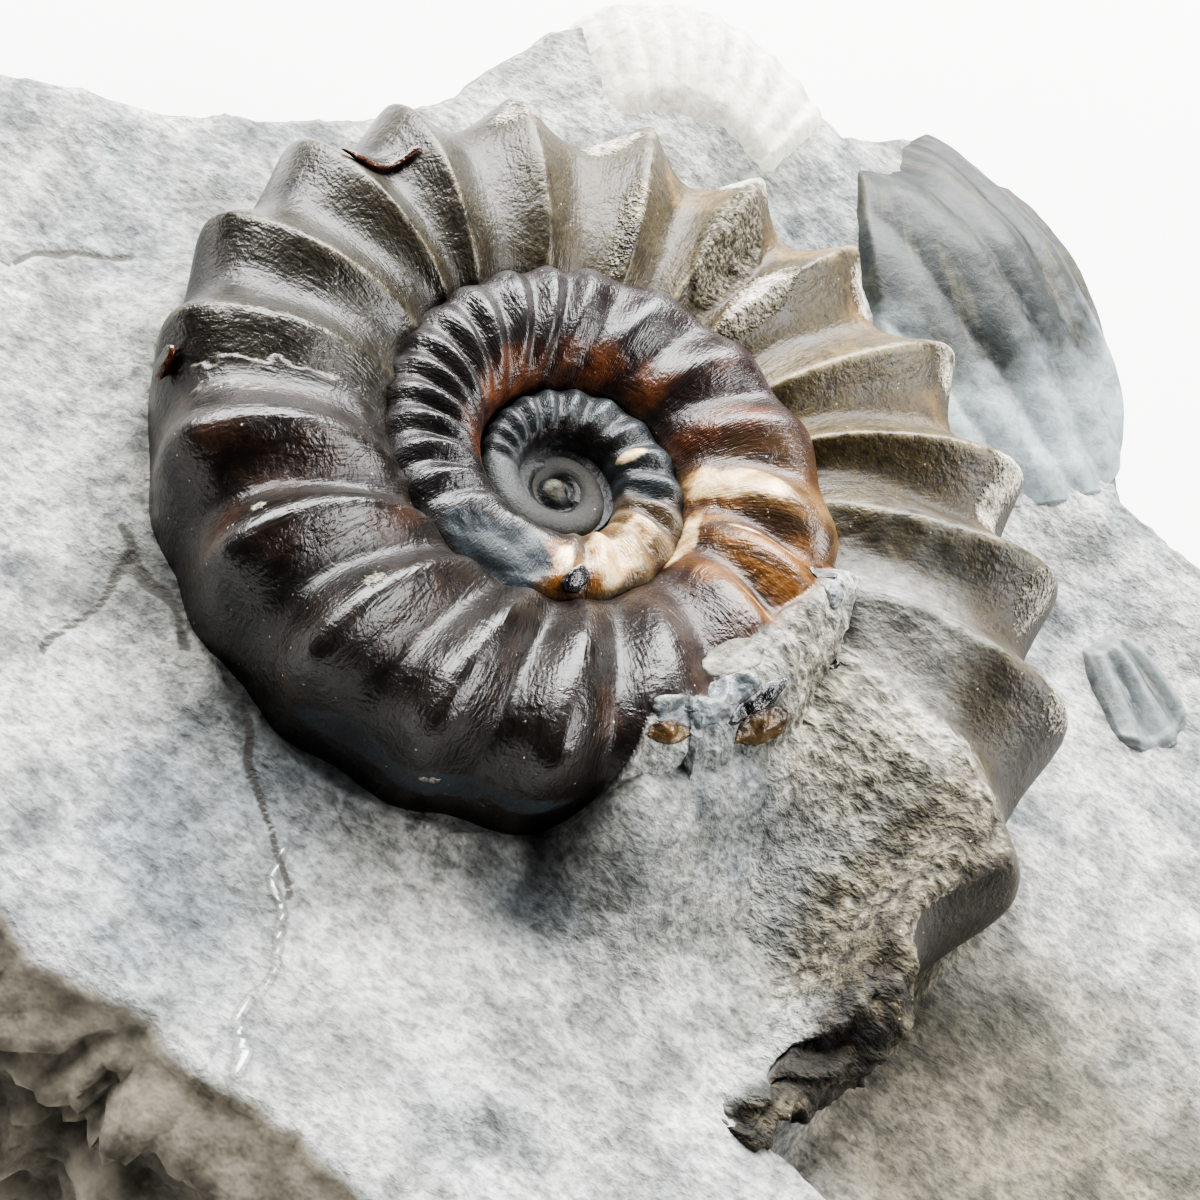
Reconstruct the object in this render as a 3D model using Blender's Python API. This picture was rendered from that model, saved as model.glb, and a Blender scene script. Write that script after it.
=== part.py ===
"""Ammonite fossil on a broken block of pale limestone, with three smaller shells.

The stone block lies on a flat underside at z = 0.  The coil axis of the ammonite is the
vertical line x = y = 0.  Lengths are written in millimetres and scaled to metres once.
"""
import math

import bmesh
import bpy
from mathutils import Vector, noise

MM = 0.001

# Driving dimensions, millimetres and degrees
GAP = 0.3                   # clearance between pieces that touch
COIL_LEVEL = 19.0           # height of the innermost coil above the underside
BED_LEVEL = 12.0            # underside of the ammonite, inside its pocket
SLAB_LEVEL = 17.1           # general level of the stone's upper surface
OUTER_RADIUS = 22.0         # radius of the spiral where the body chamber is widest
REFERENCE_ANGLE = 15.6      # where that radius is measured
GROWTH_RATE = 0.6346        # natural log of the growth per turn
GROWTH_BEND = 0.0495        # inner turns tighten a little faster than outer ones
OVAL = 0.041                # slight oval crushing of the coil
OVAL_ANGLE = 107.7
WHORL_WIDTH = 0.26          # half of a whorl's radial width, as a part of the radius
WHORL_THICKNESS = 0.258     # half of a whorl's thickness, as a part of the radius
SECTION_SQUARENESS = 2.3    # exponent of the whorl's rounded section
APERTURE_ANGLE = -44.8      # broken end of the body chamber
RIBS_PER_TURN = 20
STEPS_PER_RIB = 5
TURNS = 3.5
RIB_CREST_ANGLE = 308.0
RIB_HEIGHT = 0.05           # rib height as a part of the radius
RIB_RISE = ((125, 0.3), (98, 0.6), (72, 0.8), (48, 1.0))    # section angle, rib strength
VENTER_RISE = ((25, 0.95), (0, 0.6))

# Broken outline of the stone's upper surface
SLAB_OUTLINE = (
    (36, 0), (33, 12), (26.5, 20.5), (21.5, 21), (19.8, 24), (18.2, 29), (14.2, 34),
    (9.5, 36.5), (4, 35), (1.4, 30.5), (-3.6, 32.2), (-8.8, 31.2), (-13, 24.6), (-14.8, 17.6),
    (-18.6, 12.4), (-23.6, 8), (-28.8, 5), (-33, -4), (-31, -14), (-22, -21),
    (-6, -24.5), (6, -25.7), (16, -27), (28, -24), (35, -14),
)
SLAB_SPOKES = 84
SLAB_RINGS = (0.3, 0.55, 0.68, 0.77, 0.85, 0.91, 0.96, 1.0)
SIDE_DROPS = (0.12, 0.3, 0.52, 0.76, 1.0)


def smooth(t):
    """Ease from 0 to 1 as t goes from 0 to 1."""
    t = min(max(t, 0.0), 1.0)
    return t * t * (3.0 - 2.0 * t)


def hump(x, y, cx, cy, wide, deep):
    """A round swelling of height 1 centred on (cx, cy)."""
    return math.exp(-((x - cx) / wide) ** 2 - ((y - cy) / deep) ** 2)


def lumps(x, y, z, size, seed):
    """Smooth rock lumps between -1 and 1, with features about `size` millimetres across."""
    return noise.noise(Vector((x / size + seed, y / size, z / size)))


# ---------------------------------------------------------------- ammonite shape

def coil_radius(angle):
    """Outer radius of the spiral; one more turn of angle is one whorl further in."""
    turns = (angle - REFERENCE_ANGLE) / 360.0
    oval = 1.0 + OVAL * math.cos(2.0 * math.radians(angle - OVAL_ANGLE))
    return OUTER_RADIUS * math.exp(-GROWTH_RATE * turns - GROWTH_BEND * turns ** 2) * oval


def coil_mid_height(radius):
    """Height of a whorl's middle: the coil is dished at its centre and dips at its rim."""
    return COIL_LEVEL + 0.42 * radius - 0.02436 * radius ** 2


def section_point(angle, section, rib):
    """(distance from the axis, height) on the whorl's section at one section angle."""
    radius = coil_radius(angle)
    c = math.cos(math.radians(section))
    s = math.sin(math.radians(section))
    n = SECTION_SQUARENESS
    q = (abs(c) ** n + abs(s) ** n) ** (-1.0 / n)
    lift = rib * RIB_HEIGHT * radius
    reach = radius * (1.0 - WHORL_WIDTH) + (WHORL_WIDTH * radius * q + lift) * c
    height = coil_mid_height(radius) + (WHORL_THICKNESS * radius * q + lift) * s
    return reach, height


def rib_wave(angle):
    """1.0 on a rib crest, -0.6 in the hollow between ribs, fading on the tiny first coil."""
    phase = (RIB_CREST_ANGLE - angle) * RIBS_PER_TURN / 360.0
    crest = (0.5 + 0.5 * math.cos(2.0 * math.pi * phase)) ** 1.5
    return (1.6 * crest - 0.6) * smooth((coil_radius(angle) - 1.6) / 3.0)


def infill(angle):
    """How far the body chamber is filled over with sediment, 0 to 1."""
    return smooth((10.0 - angle) / 35.0)


def flank_points(angle):
    """Points across the visible flank, from the inner seam to the outer shoulder."""
    wave = rib_wave(angle)
    fill = infill(angle)
    seam = section_point(angle + 360.0, 35.0 - 35.0 * fill, 0.0)
    points = [seam]
    for section, strength in RIB_RISE:
        points.append(section_point(angle, section, strength * wave * (1.0 - 0.5 * fill)))
    top = points[-1][1]
    low = COIL_LEVEL - 1.3
    for i in range(1, len(points) - 1):
        reach, height = points[i]
        ramp = low + (top - low) * (i / (len(points) - 1)) ** 1.3
        points[i] = (reach, height + (min(ramp, height) - height) * fill)
    return points


def wall_points(angle):
    """Points down the outside of the last whorl, from the shoulder to the bed."""
    wave = rib_wave(angle)
    points = [section_point(angle, section, rise * wave) for section, rise in VENTER_RISE]
    points.append((points[-1][0], BED_LEVEL))
    return points


def place(angle, reach, height):
    """Turn (distance from the axis, height) at an angle into a point in metres."""
    a = math.radians(angle)
    return Vector((reach * math.cos(a), reach * math.sin(a), height)) * MM


def skin(bm, rows):
    """Quads between neighbouring rows of vertices."""
    for lower, upper in zip(rows, rows[1:]):
        for a, b, c, d in zip(lower, upper, upper[1:], lower[1:]):
            bm.faces.new((a, b, c, d))


def coil_angles(count):
    """Angles of the sections, from the broken end inwards."""
    step = 360.0 / (RIBS_PER_TURN * STEPS_PER_RIB)
    return [APERTURE_ANGLE + step * i for i in range(count)]


def loft_coil():
    """One spiral strip: each whorl's inner seam is the next whorl's outer edge."""
    bm = bmesh.new()
    per_turn = RIBS_PER_TURN * STEPS_PER_RIB
    angles = coil_angles(int(per_turn * TURNS) + 1)
    flank = [[bm.verts.new(place(a, *p)) for p in flank_points(a)] for a in angles]
    wall = [[bm.verts.new(place(a, *p)) for p in wall_points(a)]
            for a in angles[:per_turn + 1]]
    rows = []
    for i, row in enumerate(flank):
        outer = wall[i] if i <= per_turn else [flank[i - per_turn][0]]
        rows.append(row + outer)
    skin(bm, rows[:per_turn + 1])
    joint = flank[per_turn] + [flank[0][0]]
    skin(bm, [joint] + rows[per_turn + 1:])
    # broken end of the body chamber
    bm.faces.new(flank[0] + wall[0] + wall[-1][::-1] + [flank[per_turn][-1]])
    # flat underside
    bm.faces.new([column[-1] for column in wall][::-1])
    # innermost button of the coil
    rim = [row[0] for row in flank[-per_turn - 1:]] + flank[-1][1:]
    middle = bm.verts.new(Vector((0.0, 0.0, COIL_LEVEL + 0.6)) * MM)
    for a, b in zip(rim, rim[1:] + rim[:1]):
        bm.faces.new((a, b, middle))
    bmesh.ops.recalc_face_normals(bm, faces=bm.faces)
    return bm


def loft_coil_pocket():
    """The ammonite's footprint, one gap larger all round and open at the top."""
    bm = bmesh.new()
    per_turn = RIBS_PER_TURN * STEPS_PER_RIB
    outline = []
    for angle in coil_angles(per_turn + 1):
        outline.append((angle, wall_points(angle)[-1][0] + 1.25 * GAP))
    inner_angle, inner_reach = outline[-1]
    end_angle, end_reach = outline[0]
    outline[0] = (end_angle - math.degrees(1.3 * GAP / end_reach), end_reach)
    inner_turn = math.degrees(1.3 * GAP / inner_reach)
    outline[-1] = (inner_angle - inner_turn, inner_reach)
    floor = [bm.verts.new(place(a, r, BED_LEVEL - GAP)) for a, r in outline]
    face = bm.faces.new(floor)
    top = bmesh.ops.extrude_face_region(bm, geom=[face])["geom"]
    lift = Vector((0.0, 0.0, 20.0 * MM))
    bmesh.ops.translate(bm, verts=[v for v in top if isinstance(v, bmesh.types.BMVert)],
                        vec=lift)
    bmesh.ops.recalc_face_normals(bm, faces=bm.faces)
    return bm


# ---------------------------------------------------------------- stone shape

def slab_edge(angle):
    """Radius of the stone's upper edge in one direction, on a chord between two corners."""
    corners = sorted((math.atan2(y, x) % math.tau, math.hypot(x, y))
                     for x, y in SLAB_OUTLINE)
    corners = [(corners[-1][0] - math.tau, corners[-1][1])] + corners
    corners.append((corners[1][0] + math.tau, corners[1][1]))
    angle = angle % math.tau
    for (a0, r0), (a1, r1) in zip(corners, corners[1:]):
        if a0 <= angle <= a1:
            near = r0 * math.sin(angle - a0)
            far = r1 * math.sin(a1 - angle)
            return r0 * r1 * math.sin(a1 - a0) / (near + far)
    return corners[0][1]


def slab_height(x, y):
    """Height of the stone's upper surface."""
    z = SLAB_LEVEL
    # the ground right of the body chamber lies lower
    lower = smooth((x - 15.0) / 7.0) * smooth((y + 20.0 + 0.5 * (x - 18.0)) / 4.0)
    z -= 2.4 * lower * (1.0 - smooth((y - 12.0) / 8.0))
    # the stone swells under the fan shell and the ribbed shell
    z += 3.2 * hump(x, y, -6.0, 27.0, 8.0, 7.5)
    z += 1.8 * hump(x, y, 11.0, 28.0, 8.0, 7.5)
    # sediment banked against the body chamber
    z += 1.2 * hump(x, y, 12.0, -13.0, 7.0, 6.0)
    # a shallow moat worn along the near side of the coil
    z -= 0.8 * math.exp(-((math.hypot(x, y) - 16.0) / 1.8) ** 2) * smooth((-y - 2.0) / 6.0)
    z += 0.55 * lumps(x, y, 0.0, 8.0, 3.0) + 0.3 * lumps(x, y, 0.0, 3.2, 9.0)
    return z


def side_flare(angle):
    """How far the underside reaches beyond the upper edge: most on the near broken corner."""
    near = 0.5 - 0.5 * math.sin(angle)
    return 0.8 + 7.0 * near ** 2


def slab_side_point(angle, drop):
    """A point on the rough broken side, `drop` of the way from the edge to the underside."""
    edge = slab_edge(angle)
    x = edge * math.cos(angle)
    y = edge * math.sin(angle)
    height = slab_height(x, y) * (1.0 - drop)
    reach = edge + side_flare(angle) * drop ** 0.8
    rough = 1.5 * lumps(x, y, height, 5.0, 21.0) + 0.7 * lumps(x, y, height, 2.2, 40.0)
    reach += rough * math.sin(math.pi * min(drop * 1.2, 1.0)) + 0.8 * rough * drop
    return reach, height


def loft_slab():
    """The stone block: rings of the upper surface, then rings down the broken sides."""
    bm = bmesh.new()
    spokes = [math.tau * i / SLAB_SPOKES for i in range(SLAB_SPOKES)]
    rings = []
    for part in SLAB_RINGS:
        ring = []
        for a in spokes:
            reach = slab_edge(a) * part
            height = slab_height(reach * math.cos(a), reach * math.sin(a))
            ring.append(bm.verts.new(place(math.degrees(a), reach, height)))
        rings.append(ring)
    for drop in SIDE_DROPS:
        rings.append([bm.verts.new(place(math.degrees(a), *slab_side_point(a, drop)))
                      for a in spokes])
    skin(bm, [ring + ring[:1] for ring in rings])
    bm.faces.new(rings[0])
    bm.faces.new(rings[-1][::-1])
    bmesh.ops.recalc_face_normals(bm, faces=bm.faces)
    return bm


# ---------------------------------------------------------------- small shells

FAN = {
    "apex": (-1.6, 16.0), "axis": 111.0, "spread": 66.0, "start": 0.45, "length": 15.2,
    "taper": 0.0, "ribs": 9, "rib_height": 0.2, "dome": 1.1, "across": 36, "along": 4,
}
RIBBED = {
    "apex": (-8.2, 40.8), "axis": -36.6, "spread": 27.0, "start": 0.4, "length": 35.2,
    "taper": 0.5, "ribs": 5, "rib_height": 0.4, "dome": 1.0, "across": 20, "along": 8,
}
CHIP = {
    "apex": (20.6, 15.4), "axis": -27.0, "spread": 42.0, "start": 0.25, "length": 8.5,
    "taper": 0.3, "ribs": 3, "rib_height": 0.25, "dome": 0.5, "across": 12, "along": 4,
}
SHELL_DEPTH = 1.0           # how deep each small shell sits in the stone
SHELL_PROUD = 0.35          # how far its margin stands above the stone


def fan_point(shell, across, along, grow):
    """Ground point of a shell: `across` -1 to 1 between its sides, `along` 0 to 1."""
    rounding = 1.0 - 0.14 * abs(across) ** 2.5 * along
    part = shell["start"] + (1.0 - shell["start"]) * along
    reach = part * shell["length"] * rounding
    narrowing = 1.0 - shell["taper"] * (2.0 * along - 1.0) ** 2
    turn = math.radians(shell["axis"] - across * narrowing * shell["spread"] / 2.0)
    apex_x, apex_y = shell["apex"]
    x = apex_x + reach * math.cos(turn)
    y = apex_y + reach * math.sin(turn)
    forward = grow * (2.0 * along - 1.0)
    sideways = grow * across
    x += forward * math.cos(turn) + sideways * math.sin(turn)
    y += forward * math.sin(turn) - sideways * math.cos(turn)
    return x, y


def fan_top(shell, x, y, across, along):
    """Height of a fan's ribbed upper face."""
    dome = shell["dome"] * (1.0 - across ** 2) * math.sin(math.pi * min(along + 0.12, 1.0))
    ribs = shell["rib_height"] * math.cos(math.pi * across * shell["ribs"])
    return slab_height(x, y) + SHELL_PROUD + dome + ribs * min(along * 2.0, 1.0)


def loft_fan(shell, grow, top_lift):
    """A ribbed plate bedded in the stone; the pocket is the same plate grown and raised."""
    bm = bmesh.new()
    top = []
    bottom = []
    for i in range(shell["along"] + 1):
        along = i / shell["along"]
        top_row = []
        bottom_row = []
        for j in range(shell["across"] + 1):
            across = 2.0 * j / shell["across"] - 1.0
            x, y = fan_point(shell, across, along, grow)
            ground = slab_height(x, y)
            height = ground + top_lift if top_lift else fan_top(shell, x, y, across, along)
            depth = SHELL_DEPTH + grow
            top_row.append(bm.verts.new(Vector((x, y, height)) * MM))
            bottom_row.append(bm.verts.new(Vector((x, y, ground - depth)) * MM))
        top.append(top_row)
        bottom.append(bottom_row)
    skin(bm, top)
    skin(bm, bottom)
    skin(bm, [top[0], bottom[0]])
    skin(bm, [top[-1], bottom[-1]])
    skin(bm, [[row[0] for row in top], [row[0] for row in bottom]])
    skin(bm, [[row[-1] for row in top], [row[-1] for row in bottom]])
    bmesh.ops.recalc_face_normals(bm, faces=bm.faces)
    return bm


# ---------------------------------------------------------------- objects

def add_object(name, bm, collection, smooth_shading=True):
    """Put a finished mesh into a collection as a named object."""
    mesh = bpy.data.meshes.new(name)
    bm.to_mesh(mesh)
    bm.free()
    mesh.polygons.foreach_set("use_smooth", [smooth_shading] * len(mesh.polygons))
    obj = bpy.data.objects.new(name, mesh)
    collection.objects.link(obj)
    return obj


def add_cutter(name, bm, collection):
    """A tool body: seen as wire, never rendered."""
    obj = add_object(name, bm, collection, smooth_shading=False)
    obj.hide_render = True
    obj.display_type = "WIRE"
    return obj


def cut(target, cutter):
    """Subtract a cutter from a target with the exact solver."""
    modifier = target.modifiers.new("Pocket " + cutter.name, "BOOLEAN")
    modifier.operation = "DIFFERENCE"
    modifier.solver = "EXACT"
    modifier.object = cutter


def add_material(obj, name, colour, roughness):
    """Give the object its own plain material."""
    material = bpy.data.materials.new(name)
    material.use_nodes = True
    shader = material.node_tree.nodes["Principled BSDF"]
    shader.inputs["Base Color"].default_value = (*colour, 1.0)
    shader.inputs["Roughness"].default_value = roughness
    shader.inputs["Metallic"].default_value = 0.0
    material.diffuse_color = (*colour, 1.0)
    obj.data.materials.append(material)


def new_collection(name):
    """A collection linked to the scene."""
    collection = bpy.data.collections.new(name)
    bpy.context.scene.collection.children.link(collection)
    return collection


def main():
    for obj in list(bpy.data.objects):
        bpy.data.objects.remove(obj, do_unlink=True)
    pieces = new_collection("ammonite_fossil")
    tools = new_collection("cutters")

    slab = add_object("limestone_matrix", loft_slab(), pieces)
    ammonite = add_object("ammonite", loft_coil(), pieces)
    fan = add_object("fan_shell", loft_fan(FAN, 0.0, 0.0), pieces)
    ribbed = add_object("ribbed_shell", loft_fan(RIBBED, 0.0, 0.0), pieces)
    chip = add_object("shell_fragment", loft_fan(CHIP, 0.0, 0.0), pieces)

    cut(slab, add_cutter("coil_pocket", loft_coil_pocket(), tools))
    cut(slab, add_cutter("fan_pocket", loft_fan(FAN, GAP, 6.0), tools))
    cut(slab, add_cutter("ribbed_pocket", loft_fan(RIBBED, GAP, 6.0), tools))
    cut(slab, add_cutter("chip_pocket", loft_fan(CHIP, GAP, 6.0), tools))

    add_material(slab, "pale limestone", (0.55, 0.54, 0.51), 0.85)
    add_material(ammonite, "brown calcite", (0.09, 0.06, 0.04), 0.3)
    add_material(fan, "pale fossil shell", (0.62, 0.57, 0.48), 0.7)
    add_material(ribbed, "blue grey fossil shell", (0.3, 0.33, 0.34), 0.55)
    add_material(chip, "grey fossil shell", (0.34, 0.37, 0.4), 0.6)


main()
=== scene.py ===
# %% [markdown]
# # An ammonite on its block of limestone
# An ammonite is the coiled shell of an extinct sea animal. This one was buried in lime mud,
# its shell was replaced by glossy brown calcite, and the mud set into pale limestone.
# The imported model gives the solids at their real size. Here each of them is replaced by a
# finer surface at the same place, worked out from the same few driving sizes.

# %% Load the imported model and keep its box
import math
from functools import partial
import bpy
import numpy as np
from mathutils import Matrix, Vector


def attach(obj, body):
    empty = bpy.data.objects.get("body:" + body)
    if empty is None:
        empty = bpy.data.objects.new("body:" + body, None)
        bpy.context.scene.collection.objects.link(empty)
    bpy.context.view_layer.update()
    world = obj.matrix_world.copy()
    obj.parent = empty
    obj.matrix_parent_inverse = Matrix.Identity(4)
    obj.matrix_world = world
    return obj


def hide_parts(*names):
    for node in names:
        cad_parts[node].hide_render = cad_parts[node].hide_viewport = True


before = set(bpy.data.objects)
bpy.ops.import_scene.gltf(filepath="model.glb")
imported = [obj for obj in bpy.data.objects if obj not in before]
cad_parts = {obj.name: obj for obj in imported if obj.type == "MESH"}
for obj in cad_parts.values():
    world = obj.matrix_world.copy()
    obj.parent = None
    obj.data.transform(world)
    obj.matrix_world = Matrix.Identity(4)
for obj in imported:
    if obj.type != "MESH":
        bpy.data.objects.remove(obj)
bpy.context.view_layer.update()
MM = 0.001
print("nodes:", sorted(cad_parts))

# %% [markdown]
# ## Eases and rock noise
# Natural things are mostly smooth steps and random lumps. `smooth` blends between two
# states without a corner. The noise mixes the numbers of a grid cell into a fixed random
# slope at each of its corners, so the same stone comes out on every run, and it works on
# whole arrays of points at once.

# %% Helpers for shapes
def smooth(t):
    """Ease from 0 to 1: three t squared minus two t cubed, held at both ends."""
    t = np.clip(t, 0.0, 1.0)
    return t * t * (3.0 - 2.0 * t)


def between(x, low, high, soft):
    """1 where x lies between low and high, falling to 0 over `soft` outside them."""
    return smooth((x - low) / soft + 1.0) * smooth((high - x) / soft + 1.0)


def hump(x, y, cx, cy, wide, deep):
    """A bell of height 1 centred on (cx, cy): e to the minus squared distance."""
    return np.exp(-((x - cx) / wide) ** 2 - ((y - cy) / deep) ** 2)


def mixed(a, b, share):
    """a where share is 0, b where it is 1."""
    return a + (b - a) * share


def corner_slope(cell, seed, axis):
    """A fixed random number from -1 to 1 for each grid corner, by mixing its whole numbers."""
    h = cell[..., 0] * 374761393 + cell[..., 1] * 668265263 + cell[..., 2] * 974634777
    h = (h + seed * 144269 + axis * 7919) & 0xFFFFFFFF
    h = ((h ^ (h >> 13)) * 1103515245) & 0xFFFFFFFF
    h = ((h ^ (h >> 15)) * 12820163) & 0xFFFFFFFF
    return ((h >> 8) & 0xFFFF) / 32767.5 - 1.0


def noise(points, size, seed):
    """Smooth lumps about `size` mm across, from about -1 to 1: slopes at the eight corners
    of each cell, blended with an ease that has no corner."""
    p = points / size
    base = np.floor(p)
    f = p - base
    base = base.astype(np.int64)
    ease = f ** 3 * (f * (f * 6.0 - 15.0) + 10.0)
    total = np.zeros(p.shape[:-1])
    for corner in np.ndindex(2, 2, 2):
        offset = f - np.array(corner)
        slope = sum(corner_slope(base + np.array(corner), seed, k) * offset[..., k]
                    for k in range(3))
        weight = np.where(np.array(corner) == 1, ease, 1.0 - ease).prod(axis=-1)
        total += weight * slope
    return total * 1.4


def rough(points, size, seed, octaves=4, gain=0.5):
    """Noise on noise: each octave is half the size and `gain` times the height."""
    return sum(noise(points, size / 2 ** k, seed + 17 * k) * gain ** k for k in range(octaves))


trial = rough(np.stack(np.meshgrid(np.arange(20.0), np.arange(20.0), [0.5]), axis=-1), 3.0, 1)
print("rock noise on a trial patch runs from", round(trial.min(), 2), "to", round(trial.max(), 2))

# %% [markdown]
# ## One way to make every mesh
# Each piece is a stack of closed loops: rows along it, columns round it. A grid of quads
# joins the rows, and a small fan of triangles closes each end, so nothing is left open.
# The signed volume tells whether the faces point outwards; if not, they are turned.

# %% The mesh maker
def loops_to_mesh(name, rows, attributes=None):
    """A closed mesh from rows of closed loops, an array (rows, columns, 3) in millimetres.
    `attributes` are arrays (rows, columns) kept on the points for the material."""
    count, around = rows.shape[:2]
    ends = np.stack([rows[0].mean(axis=0), rows[-1].mean(axis=0)])
    points = np.concatenate([rows.reshape(-1, 3), ends]) * MM
    index = np.arange(count * around).reshape(count, around)
    after = np.roll(index, -1, axis=1)
    quads = np.stack([index[:-1], after[:-1], after[1:], index[1:]], axis=-1).reshape(-1, 4)
    first = np.stack([after[0], index[0], np.full(around, count * around)], axis=-1)
    last = np.stack([index[-1], after[-1], np.full(around, count * around + 1)], axis=-1)
    tris = np.concatenate([first, last])
    a, b, c, d = (points[quads[:, k]] for k in range(4))
    volume = (np.einsum("ij,ij->i", a, np.cross(b, c)).sum()
              + np.einsum("ij,ij->i", a, np.cross(c, d)).sum())
    if volume < 0.0:
        quads = quads[:, ::-1]
        tris = tris[:, ::-1]
    mesh = bpy.data.meshes.new(name)
    mesh.vertices.add(len(points))
    mesh.vertices.foreach_set("co", points.astype(np.float32).ravel())
    mesh.loops.add(quads.size + tris.size)
    mesh.loops.foreach_set("vertex_index", np.concatenate([quads.ravel(), tris.ravel()]))
    mesh.polygons.add(len(quads) + len(tris))
    starts = np.concatenate([np.arange(len(quads)) * 4, quads.size + np.arange(len(tris)) * 3])
    mesh.polygons.foreach_set("loop_start", starts)
    mesh.update(calc_edges=True)
    mesh.polygons.foreach_set("use_smooth", np.ones(len(mesh.polygons), bool))
    for key, values in (attributes or {}).items():
        values = np.broadcast_to(values, rows.shape[:2])
        flat = np.concatenate([values.ravel(), [values[0].mean(), values[-1].mean()]])
        mesh.attributes.new(key, "FLOAT", "POINT").data.foreach_set(
            "value", flat.astype(np.float32))
    mesh.validate()
    obj = bpy.data.objects.new(name, mesh)
    bpy.context.scene.collection.objects.link(obj)
    print(f"{name}: {2 * len(quads) + len(tris)} triangles")
    return obj


def finish_piece(obj, material, slot, *nodes):
    """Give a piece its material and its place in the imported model."""
    obj.data.materials.append(material)
    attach(obj, "root")
    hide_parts(*nodes)
    return obj


# %% [markdown]
# ## One way to make every material
# A material is a small network of nodes. `node` adds one of any kind, sets it, joins its
# inputs and hands back the output that the next node needs, so each material below reads
# from top to bottom. Two steps come again and again, as they do for a painter: a wash that
# darkens what is there, and a coat that covers it. Colours are written as the hex values a
# painter would pick, and turned to linear light.

# %% The node maker
def linear(hex_colour):
    """Linear RGBA of an sRGB hex colour: the standard curve, a straight toe then a power."""
    part = [int(hex_colour[i:i + 2], 16) / 255.0 for i in (1, 3, 5)]
    return tuple(c / 12.92 if c <= 0.04045 else ((c + 0.055) / 1.055) ** 2.4
                 for c in part) + (1.0,)


def fill(tree, socket, value):
    """Join an input to another node's output, or keep a value in it, a hex one made linear."""
    if isinstance(value, bpy.types.NodeSocket):
        tree.links.new(value, socket)
    else:
        socket.default_value = linear(value) if isinstance(value, str) else value


def node(tree, kind, *values, out=0, stops=(), **settings):
    """Add a shader node and return one of its outputs. Values fill its inputs in order,
    settings the input or the property of that name, and stops are (place, tone) pairs of a
    ramp, a tone being a hex colour or a grey."""
    made = tree.nodes.new("ShaderNode" + kind)
    for key, value in [*settings.items(), *enumerate(values)]:
        if isinstance(key, str) and key not in made.inputs:
            setattr(made, key, value)
        else:
            fill(tree, made.inputs[key], value)
    if stops:
        points = made.color_ramp.elements
        points.remove(points[1])
        for i, (where, tone) in enumerate(stops):
            point = points.new(where) if i else points[0]
            point.position = where
            point.color = linear(tone) if isinstance(tone, str) else (tone, tone, tone, 1.0)
    return made.outputs[out]


def wash(add, colour, share, value, *stops):
    """Darken a colour by a ramp of the value: the two are multiplied."""
    tone = add("ValToRGB", value, stops=stops)
    return add("MixRGB", share, colour, tone, blend_type="MULTIPLY")


def coat(add, colour, share, value, *stops):
    """Cover a colour with a ramp of the value, fully where the share is 1."""
    return add("MixRGB", share, colour, add("ValToRGB", value, stops=stops))


def new_material(name):
    """A material that holds only its shader and output, and `add`, which adds nodes to it."""
    material = bpy.data.materials.new(name)
    material.use_nodes = True
    return material, partial(node, material.node_tree)


def finish_material(material, colour, roughness, ior, relief, depth, strength, mirror=0.5):
    """Fill the shader: colour, roughness, and a bump that is `depth` high where the relief
    is 1. `mirror` is the specular level, a half for a clean surface."""
    tree = material.node_tree
    shader = tree.nodes["Principled BSDF"]
    bump = node(tree, "Bump", Height=relief, Distance=depth, Strength=strength)
    for socket, value in (("Base Color", colour), ("Roughness", roughness), ("IOR", ior),
                          ("Specular IOR Level", mirror), ("Normal", bump)):
        fill(tree, shader.inputs[socket], value)
    print("material:", material.name, "of", len(tree.nodes), "nodes")
    return material


# %% [markdown]
# ## The camera
# A close-up from about fifty degrees above the slab, rolled by about a third of a right angle.
# The lens is a short portrait lens held near, so near parts look larger than far ones.

# %% Camera
CAMERA_PLACE = Vector((3.663, -44.890, 70.292)) * MM
LOOK_DOWN = 0.88092         # radians below the horizon
ROLL = 0.57387              # radians
LENS = 54.0                 # mm, on a sensor 36 mm wide
NEAREST = 2.0 * MM          # nothing nearer than this is drawn


def view_axes():
    """Right, up and backward directions of the camera: level axes turned by the roll."""
    forward = Vector((0.0, math.cos(LOOK_DOWN), -math.sin(LOOK_DOWN)))
    level = Vector((1.0, 0.0, 0.0))
    upright = level.cross(forward)
    right = math.cos(ROLL) * level + math.sin(ROLL) * upright
    up = -math.sin(ROLL) * level + math.cos(ROLL) * upright
    return right, up, -forward


camera_data = bpy.data.cameras.new("camera")
camera_data.lens = LENS
camera_data.clip_start = NEAREST
camera = bpy.data.objects.new("camera", camera_data)
bpy.context.scene.collection.objects.link(camera)
turned = Matrix(view_axes()).transposed().to_4x4()
camera.matrix_world = Matrix.Translation(CAMERA_PLACE) @ turned
bpy.context.scene.camera = camera
print("camera at, mm:", [round(v / MM, 1) for v in CAMERA_PLACE])

# %% [markdown]
# ## The coil's plan
# A shell grows by adding a little at its open end and getting wider as it goes, so its
# outline is a spiral whose radius falls by the same share each turn inwards. The angle runs
# on past 360: one more turn means one whorl further in. A small cosine term makes the coil
# slightly oval, as it was crushed in the rock.

# %% Spiral law
COIL_LEVEL = 19.0           # mm above the underside of the block
OUTER_RADIUS = 22.0         # mm, at the reference angle
REFERENCE_ANGLE = 15.6
GROWTH_RATE = 0.6346        # natural log of the shrinking over one turn
GROWTH_BEND = 0.0495        # how much faster each further turn shrinks
OVAL = 0.041
OVAL_ANGLE = 107.7
WHORL_WIDTH = 0.26          # half of a whorl's radial width, as a part of the radius
WHORL_THICKNESS = 0.258     # half of its height, as a part of the radius
SECTION_SQUARENESS = 2.3
APERTURE_ANGLE = -44.8      # where the body chamber is broken off


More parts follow.
